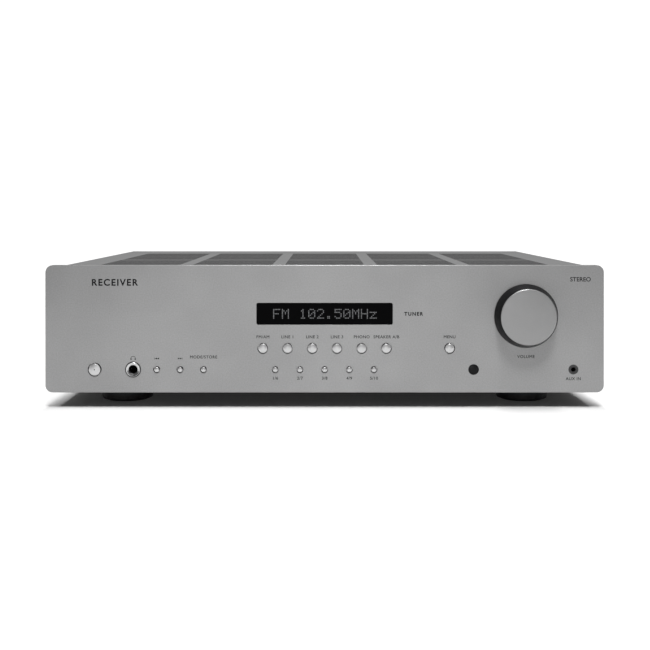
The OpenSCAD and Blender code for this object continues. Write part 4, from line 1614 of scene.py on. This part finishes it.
    def _paint_slot_wall_shade(self, mesh: bpy.types.Mesh) -> None:
        """Paints the slots' walls dark: painted shade inside the vents.

        Args:
            mesh: The slotted sheet.
        """
        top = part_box("top_cover")[1][2]
        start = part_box("front_panel")[0][1] + self.vent_start - 0.1 * MM
        end = start + self.vent_end - self.vent_start + 0.2 * MM
        bm = bmesh.new()
        bm.from_mesh(mesh)
        smooth(bm, 30)
        # The slots' walls take a dark grey as painted shade
        split_by(bm, lambda face: self._is_shaded_slot_wall(face, top, start, end))
        mesh.materials.clear()
        bm.to_mesh(mesh)
        bm.free()
        paint(mesh, CASE_PAINT, SLOT_WALL_SHADE)

    def _is_shaded_slot_wall(self, face: bmesh.types.BMFace, top: float, start: float, end: float) -> bool:
        """Tells whether a face is the wall of a slot, which takes the painted shade.

        Args:
            face: A face of the cover.
            top: Height of the cover's top.
            start: Where the vents begin.
            end: Where they end.

        Returns:
            True on a slot's wall.
        """
        at = face.calc_center_median()
        inside = abs(at.x) < self.blocks * self.block_pitch / 2 and start < at.y < end
        return inside and at.z > top - 1.2 * self.sheet and abs(face.normal.z) < 0.3


@dataclass
class Underside:
    """The base tray, the upright sheets, the feet and their pads."""

    def build(self) -> None:
        """Dresses the sheets and makes the feet."""
        dressed_copy("base_tray", REAR_PAINT, 0.15 * MM)
        dress(["front_subchassis"], ZINC)
        dressed_copy("rear_panel", REAR_PAINT, 0.15 * MM)
        dressed_copy("feet", BLACK_PLASTIC_AND_SHADE, 0.8 * MM, segments=3)
        dressed_copy("foot_pads", RUBBER, 0.3 * MM)


# ---------------------------------------------------------------- rear


LINE_NAMES = ("PHONO", "LINE 1", "LINE 2", "LINE 3", "REC OUT", "PRE OUT")

# Each fitting with its finish, the rounding of its edges and whether it moves on its own
REAR_FITTINGS = (
    ("mains_inlet", BLACK_PLASTIC_AND_SHADE, 0.3 * MM, False),
    ("mains_rocker", BLACK_PLASTIC_AND_SHADE, 0.3 * MM, True),
    ("phono_sockets", GOLD, 0.15 * MM, False),
    ("digital_sockets", BLACK_PLASTIC_AND_SHADE, 0.15 * MM, False),
    ("tuner_module", ZINC, 0.2 * MM, False),
    ("aerial_block", BLACK_PLASTIC_AND_SHADE, 0.2 * MM, False),
    ("terminal_posts", GOLD, 0.15 * MM, False),
    ("ground_thumb_nut", GOLD, 0.2 * MM, True),
    ("am_aerial_lever", RED_PLASTIC, 0.2 * MM, True),
    ("am_ground_lever", BLACK_PLASTIC_AND_SHADE, 0.2 * MM, True),
)


def cap_nodes(group: str = "") -> list[str]:
    """Lists the speaker terminals' screw caps, all of them or one group's."""
    return sorted(n for n in frame["nodes"] if n.startswith(f"speaker_{group}") and n.endswith("_cap"))


@dataclass
class RearTerminals:
    """Everything that is plugged in or screwed down at the rear, and the print round it.

    Attributes:
        pitch: Distance between the line sockets across.
        rise: Distance between their two rows.
        barrel: Radius of a line socket's surround.
        under_ground: Height of the ground terminal over the lower row.
        bore: Inner radius of the sockets' coloured rings.
        ring: Outer radius of those rings.
        proud: How far they stand out of the barrels.
        sunk: How deep they sit in them.
        ink: Height of the lettering's capitals.
        clear: Space between a terminal and its lettering.
        narrow: Height of the lettering where room is short, as a share of the rest.
        sign: The same for the plus and minus signs.
        sign_gap: Space from a speaker cap to the middle of its sign.
        group_drop: More space under the lower speaker row than over the upper one.
        aerial_drop: How far the aerial's name is under the mains inlet's middle.
        input_inset: From the mains inlet's left end to the middle of its name.
    """

    pitch: float = 18.0 * MM
    rise: float = 19.0 * MM
    barrel: float = 5.6 * MM
    under_ground: float = 41.0 * MM
    bore: float = 1.65 * MM
    ring: float = 3.25 * MM
    proud: float = 0.25 * MM
    sunk: float = 0.3 * MM
    ink: float = 2.0 * MM
    clear: float = 1.6 * MM
    narrow: float = 0.85
    sign: float = 1.4
    sign_gap: float = 3.4 * MM
    group_drop: float = 4.5 * MM
    aerial_drop: float = 4.0 * MM
    input_inset: float = 17.0 * MM

    def build(self) -> None:
        """Dresses the sockets and terminals, and prints their names."""
        for node, finish, width, moves in REAR_FITTINGS:
            dressed_copy(node, finish, width, node if moves else CHASSIS)
        for node in cap_nodes():
            dressed_copy(node, RED_PLASTIC if "plus" in node else BLACK_PLASTIC_AND_SHADE, 0.25 * MM, node)
        self._rings()
        print_labels("rear_lettering", self._labels(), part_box("rear_panel")[1][1], REAR_LEGEND, 1)

    def _first(self) -> Vector:
        """Gives the middle of the lower row's first line socket, on its end face."""
        post = middle("ground_thumb_nut")
        return Vector((post.x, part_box("phono_sockets")[1][1], post.z - self.under_ground))

    def _rings(self) -> None:
        """Sets a coloured ring into the mouth of every line socket."""
        chamfer = 0.4 * self.proud
        profile = [
            (self.bore, -self.sunk), (self.ring, -self.sunk), (self.ring, self.proud - chamfer),
            (self.ring - chamfer, self.proud), (self.bore, self.proud),
        ]
        first = self._first()
        across = [first + Vector((i * self.pitch, 0.0, 0.0)) for i in range(len(LINE_NAMES))]
        up = Vector((0.0, 0.0, self.rise))
        coax = Vector((middle("digital_sockets").x - self.pitch / 2, first.y, first.z))
        rows = (
            ("left_line_rings", [at + up for at in across], WHITE_PLASTIC),
            ("right_line_rings", across, RED_PLASTIC),
            ("digital_ring", [coax], ORANGE_PLASTIC),
        )
        for name, places, finish in rows:
            ring = to_mesh(lathe(profile, Vector((0.0, 0.0, 0.0)), 28, 1))
            mesh = copies_tree(name, ring, finish).run(points(places), {"Size": 1.0})
            put(name, mesh, finish)

    def _labels(self) -> list[Label]:
        """Lists the lettering at the rear.

        Returns:
            The labels.
        """
        first, ink = self._first(), self.ink
        over = first.z + self.rise + self.barrel + self.clear
        under = first.z - self.barrel - self.clear - ink
        words = [(text, first.x + i * self.pitch, over, ink) for i, text in enumerate(LINE_NAMES)]
        for text, row in (("R", 0.0), ("L", self.rise)):
            words.append((text, first.x - self.pitch / 2, first.z + row - ink / 2, ink))
        digital, aerial = middle("digital_sockets").x, middle("aerial_block").x
        left, right = digital - self.pitch / 2, digital + self.pitch / 2
        low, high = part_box("mains_inlet")
        mains = high[2] + self.clear
        words += [
            ("OPTICAL 1", left, over, self.narrow * ink),
            ("OPTICAL 2", right, over, self.narrow * ink),
            ("COAXIAL", left, under, ink),
            ("GROUND", middle("ground_thumb_nut").x, self._above("ground_thumb_nut"), ink),
            ("AM", aerial, self._above("aerial_block"), ink),
            ("FM 75 OHM", aerial, middle("mains_inlet").z - self.aerial_drop, ink),
            *self._speaker_words(),
            ("AC INPUT", low[0] + self.input_inset, mains, ink),
            ("POWER", middle("mains_rocker").x, mains, ink),
        ]
        return [Label(*word) for word in words]

    def _above(self, node: str) -> float:
        """Gives the height of a baseline over a terminal."""
        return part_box(node)[1][2] + self.clear

    def _speaker_words(self) -> list[tuple[str, float, float, float]]:
        """Lists the lettering round the speaker terminals.

        Returns:
            Each word with its middle, its baseline and its height.
        """
        words = []
        low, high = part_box(cap_nodes()[0])
        reach = (high[2] - low[2]) / 2
        groups = {group: {n: middle(n) for n in cap_nodes(f"{group}_")} for group in "ab"}
        lowest = min(at.z for caps in groups.values() for at in caps.values())
        for group, caps in groups.items():
            z = min(at.z for at in caps.values())
            upper = z > lowest
            outer = reach + self.clear if upper else -reach - self.clear - self.group_drop
            centre = sum(at.x for at in caps.values()) / len(caps)
            words.append((f"SPEAKERS {group.upper()}", centre, z + outer, self.ink))
            inner = -reach - self.sign_gap if upper else reach + self.sign_gap
            for node, at in caps.items():
                text = "+" if "plus" in node else "-"
                words.append((text, at.x, z + inner - self.ink / 2, self.sign * self.ink))
        return words


# ---------------------------------------------------------------- inside


@dataclass
class Electronics:
    """The boards and parts that show through the slots."""

    def build(self) -> None:
        """Dresses the inner parts."""
        dress(["display_module"], DISPLAY_GLASS)
        dress(["key_board", "amplifier_board", "input_board"], RESIST)
        dress(["key_switches", "power_transistors"], BLACK_PLASTIC_AND_SHADE)
        dressed_copy("heatsink", BLACK_ALUMINIUM, 0.2 * MM)
        dressed_copy("board_components", SLEEVE, 0.4 * MM)
        dressed_copy("toroidal_transformer", COPPER, 0.2 * MM)
        dressed_copy("transformer_clamp", ZINC, 0.4 * MM)


# ---------------------------------------------------------------- studio


@dataclass(frozen=True)
class SoftBox:
    """One rectangular area light.

    Attributes:
        name: The light's name.
        at: Where it hangs.
        aim: What it points at.
        size: Its width and height.
        power: Its power in watts.
    """

    name: str
    at: Point
    aim: Point
    size: tuple[float, float]
    power: float

    def hang(self) -> None:
        """Adds the light to the scene."""
        data = bpy.data.lights.new(self.name, "AREA")
        data.shape = "RECTANGLE"
        data.size, data.size_y = self.size
        data.energy = self.power
        light = linked(self.name, data)
        light.location = self.at
        way = Vector(self.aim) - Vector(self.at)
        light.rotation_euler = way.to_track_quat("-Z", "Y").to_euler()
        light.visible_camera = False


# A long box over the receiver and a smaller one high in front of it
SOFT_BOXES = (
    SoftBox("overhead", (0.0, -0.1, 4.0), (0.0, -0.1, 0.0), (0.6, 4.2), 280.0),
    SoftBox("high_front", (0.2, -1.9, 3.0), (0.0, -0.157, 0.06), (0.9, 0.6), 95.0),
)


@dataclass
class Studio:
    """The pale floor, the soft lights and the camera.

    Attributes:
        eye: Where the camera stands.
        lens: Its focal length in millimetres.
        sensor: Its sensor's width in millimetres.
        lift: Its vertical shift, as a share of the frame's width.
        aside: Its sideways shift, as a share of the frame's width.
        floor: Half the floor's width, its front and its rear end.
        backdrop: Brightness of what shows behind the receiver.
        sky: Light from above on matt surfaces.
        glow: Light ahead of the panel that shiny surfaces mirror.
        glow_height: How far above the horizon that glow is centred, in degrees.
        ambient: Light from everywhere that shiny surfaces mirror.
        focus: How narrow the glow ahead is.
    """

    eye: Point = (0.0, -986.0 * MM, 150.8 * MM)
    lens: float = 59.65
    sensor: float = 36.0
    lift: float = -0.1735
    aside: float = 0.0006
    floor: Point = (1.0, -0.8, 0.7)
    backdrop: float = 1.1
    sky: float = 0.25
    glow: float = 2.7
    glow_height: float = 1.0
    ambient: float = 0.04
    focus: float = 70.0

    def build(self) -> None:
        """Sets up the whole studio."""
        self._camera()
        self._floor()
        self._world()
        for box in SOFT_BOXES:
            box.hang()
        bpy.context.scene.view_settings.view_transform = "Standard"

    def _camera(self) -> None:
        """Stands the camera level in front of the receiver."""
        data = bpy.data.cameras.new("camera")
        data.lens, data.sensor_width = self.lens, self.sensor
        data.shift_x, data.shift_y = self.aside, self.lift
        camera = linked("camera", data)
        camera.location = self.eye
        camera.rotation_euler = (math.radians(90), 0.0, 0.0)
        bpy.context.scene.camera = camera

    def _floor(self) -> None:
        """Lays a large sheet of paper under the receiver."""
        half, front, rear = self.floor
        bm = bmesh.new()
        corners = [(-half, front), (half, front), (half, rear), (-half, rear)]
        bm.faces.new([bm.verts.new((x, y, 0.0)) for x, y in corners])
        mesh = bpy.data.meshes.new("floor")
        bm.to_mesh(mesh)
        bm.free()
        paint(mesh, FLOOR_CARD)
        linked("floor", mesh)

    def _world(self) -> None:
        """Surrounds the scene with white: even behind the receiver, glowing ahead of it.

        Matt surfaces are lit from above only. Shiny ones mirror a soft glow ahead of the panel.
        """
        world = bpy.data.worlds.new("studio")
        world.use_nodes = True
        nodes = Nodes(world.node_tree)
        way = nodes.node("ShaderNodeTexCoord").outputs["Generated"]
        path = nodes.node("ShaderNodeLightPath")
        overhead = nodes.maths("MULTIPLY", self._lobe(nodes, way, 90.0, 1.0), self.sky)
        spot = self._lobe(nodes, way, self.glow_height, self.focus)
        ahead = nodes.maths("MULTIPLY_ADD", spot, self.glow, self.ambient)
        strength = self._choose(nodes, path.outputs["Is Glossy Ray"], overhead, ahead)
        strength = self._choose(nodes, path.outputs["Is Camera Ray"], strength, self.backdrop)
        background = world.node_tree.nodes["Background"]
        background.inputs["Color"].default_value = (1.0, 1.0, 1.0, 1.0)
        nodes.link(strength, background.inputs["Strength"])
        bpy.context.scene.world = world

    @staticmethod
    def _lobe(nodes: Nodes, way: Socket, height: float, exponent: float) -> Socket:
        """Makes a soft spot on the world, straight ahead of the receiver or over it.

        Args:
            nodes: The world's nodes.
            way: The direction that is looked in.
            height: How far above the horizon its middle is, in degrees.
            exponent: How narrow it is.

        Returns:
            Its brightness, from 0 to 1.
        """
        tilt = math.radians(height)
        along = nodes.node("ShaderNodeVectorMath", operation="DOT_PRODUCT")
        along.inputs[1].default_value = (0.0, -math.cos(tilt), math.sin(tilt))
        nodes.link(way, along.inputs[0])
        positive = nodes.maths("MAXIMUM", along.outputs["Value"], 0.0)
        return nodes.maths("POWER", positive, exponent)

    @staticmethod
    def _choose(nodes: Nodes, switch: Socket, off: Value, on: Value) -> Socket:
        """Picks one of two values.

        Args:
            nodes: The world's nodes.
            switch: 0 for the first, 1 for the second.
            off: The first value.
            on: The second value.

        Returns:
            The chosen value's socket.
        """
        mix = nodes.node("ShaderNodeMix", data_type="FLOAT")
        for slot, value in ((0, switch), (2, off), (3, on)):
            nodes.feed(value, mix.inputs[slot])
        return mix.outputs[0]


# ---------------------------------------------------------------- main


def main() -> None:
    """Builds the studio and every sub-assembly in order."""
    logging.basicConfig(level=logging.INFO, format="%(message)s")
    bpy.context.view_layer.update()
    steps: tuple[Callable[[], None], ...] = (
        Studio().build,
        FrontPanel().build,
        Buttons().build,
        VolumeControl().build,
        FrontSockets().build,
        Cover().build,
        Underside().build,
        RearTerminals().build,
        Electronics().build,
    )
    for step in steps:
        step()


if __name__ == "__main__":
    main()
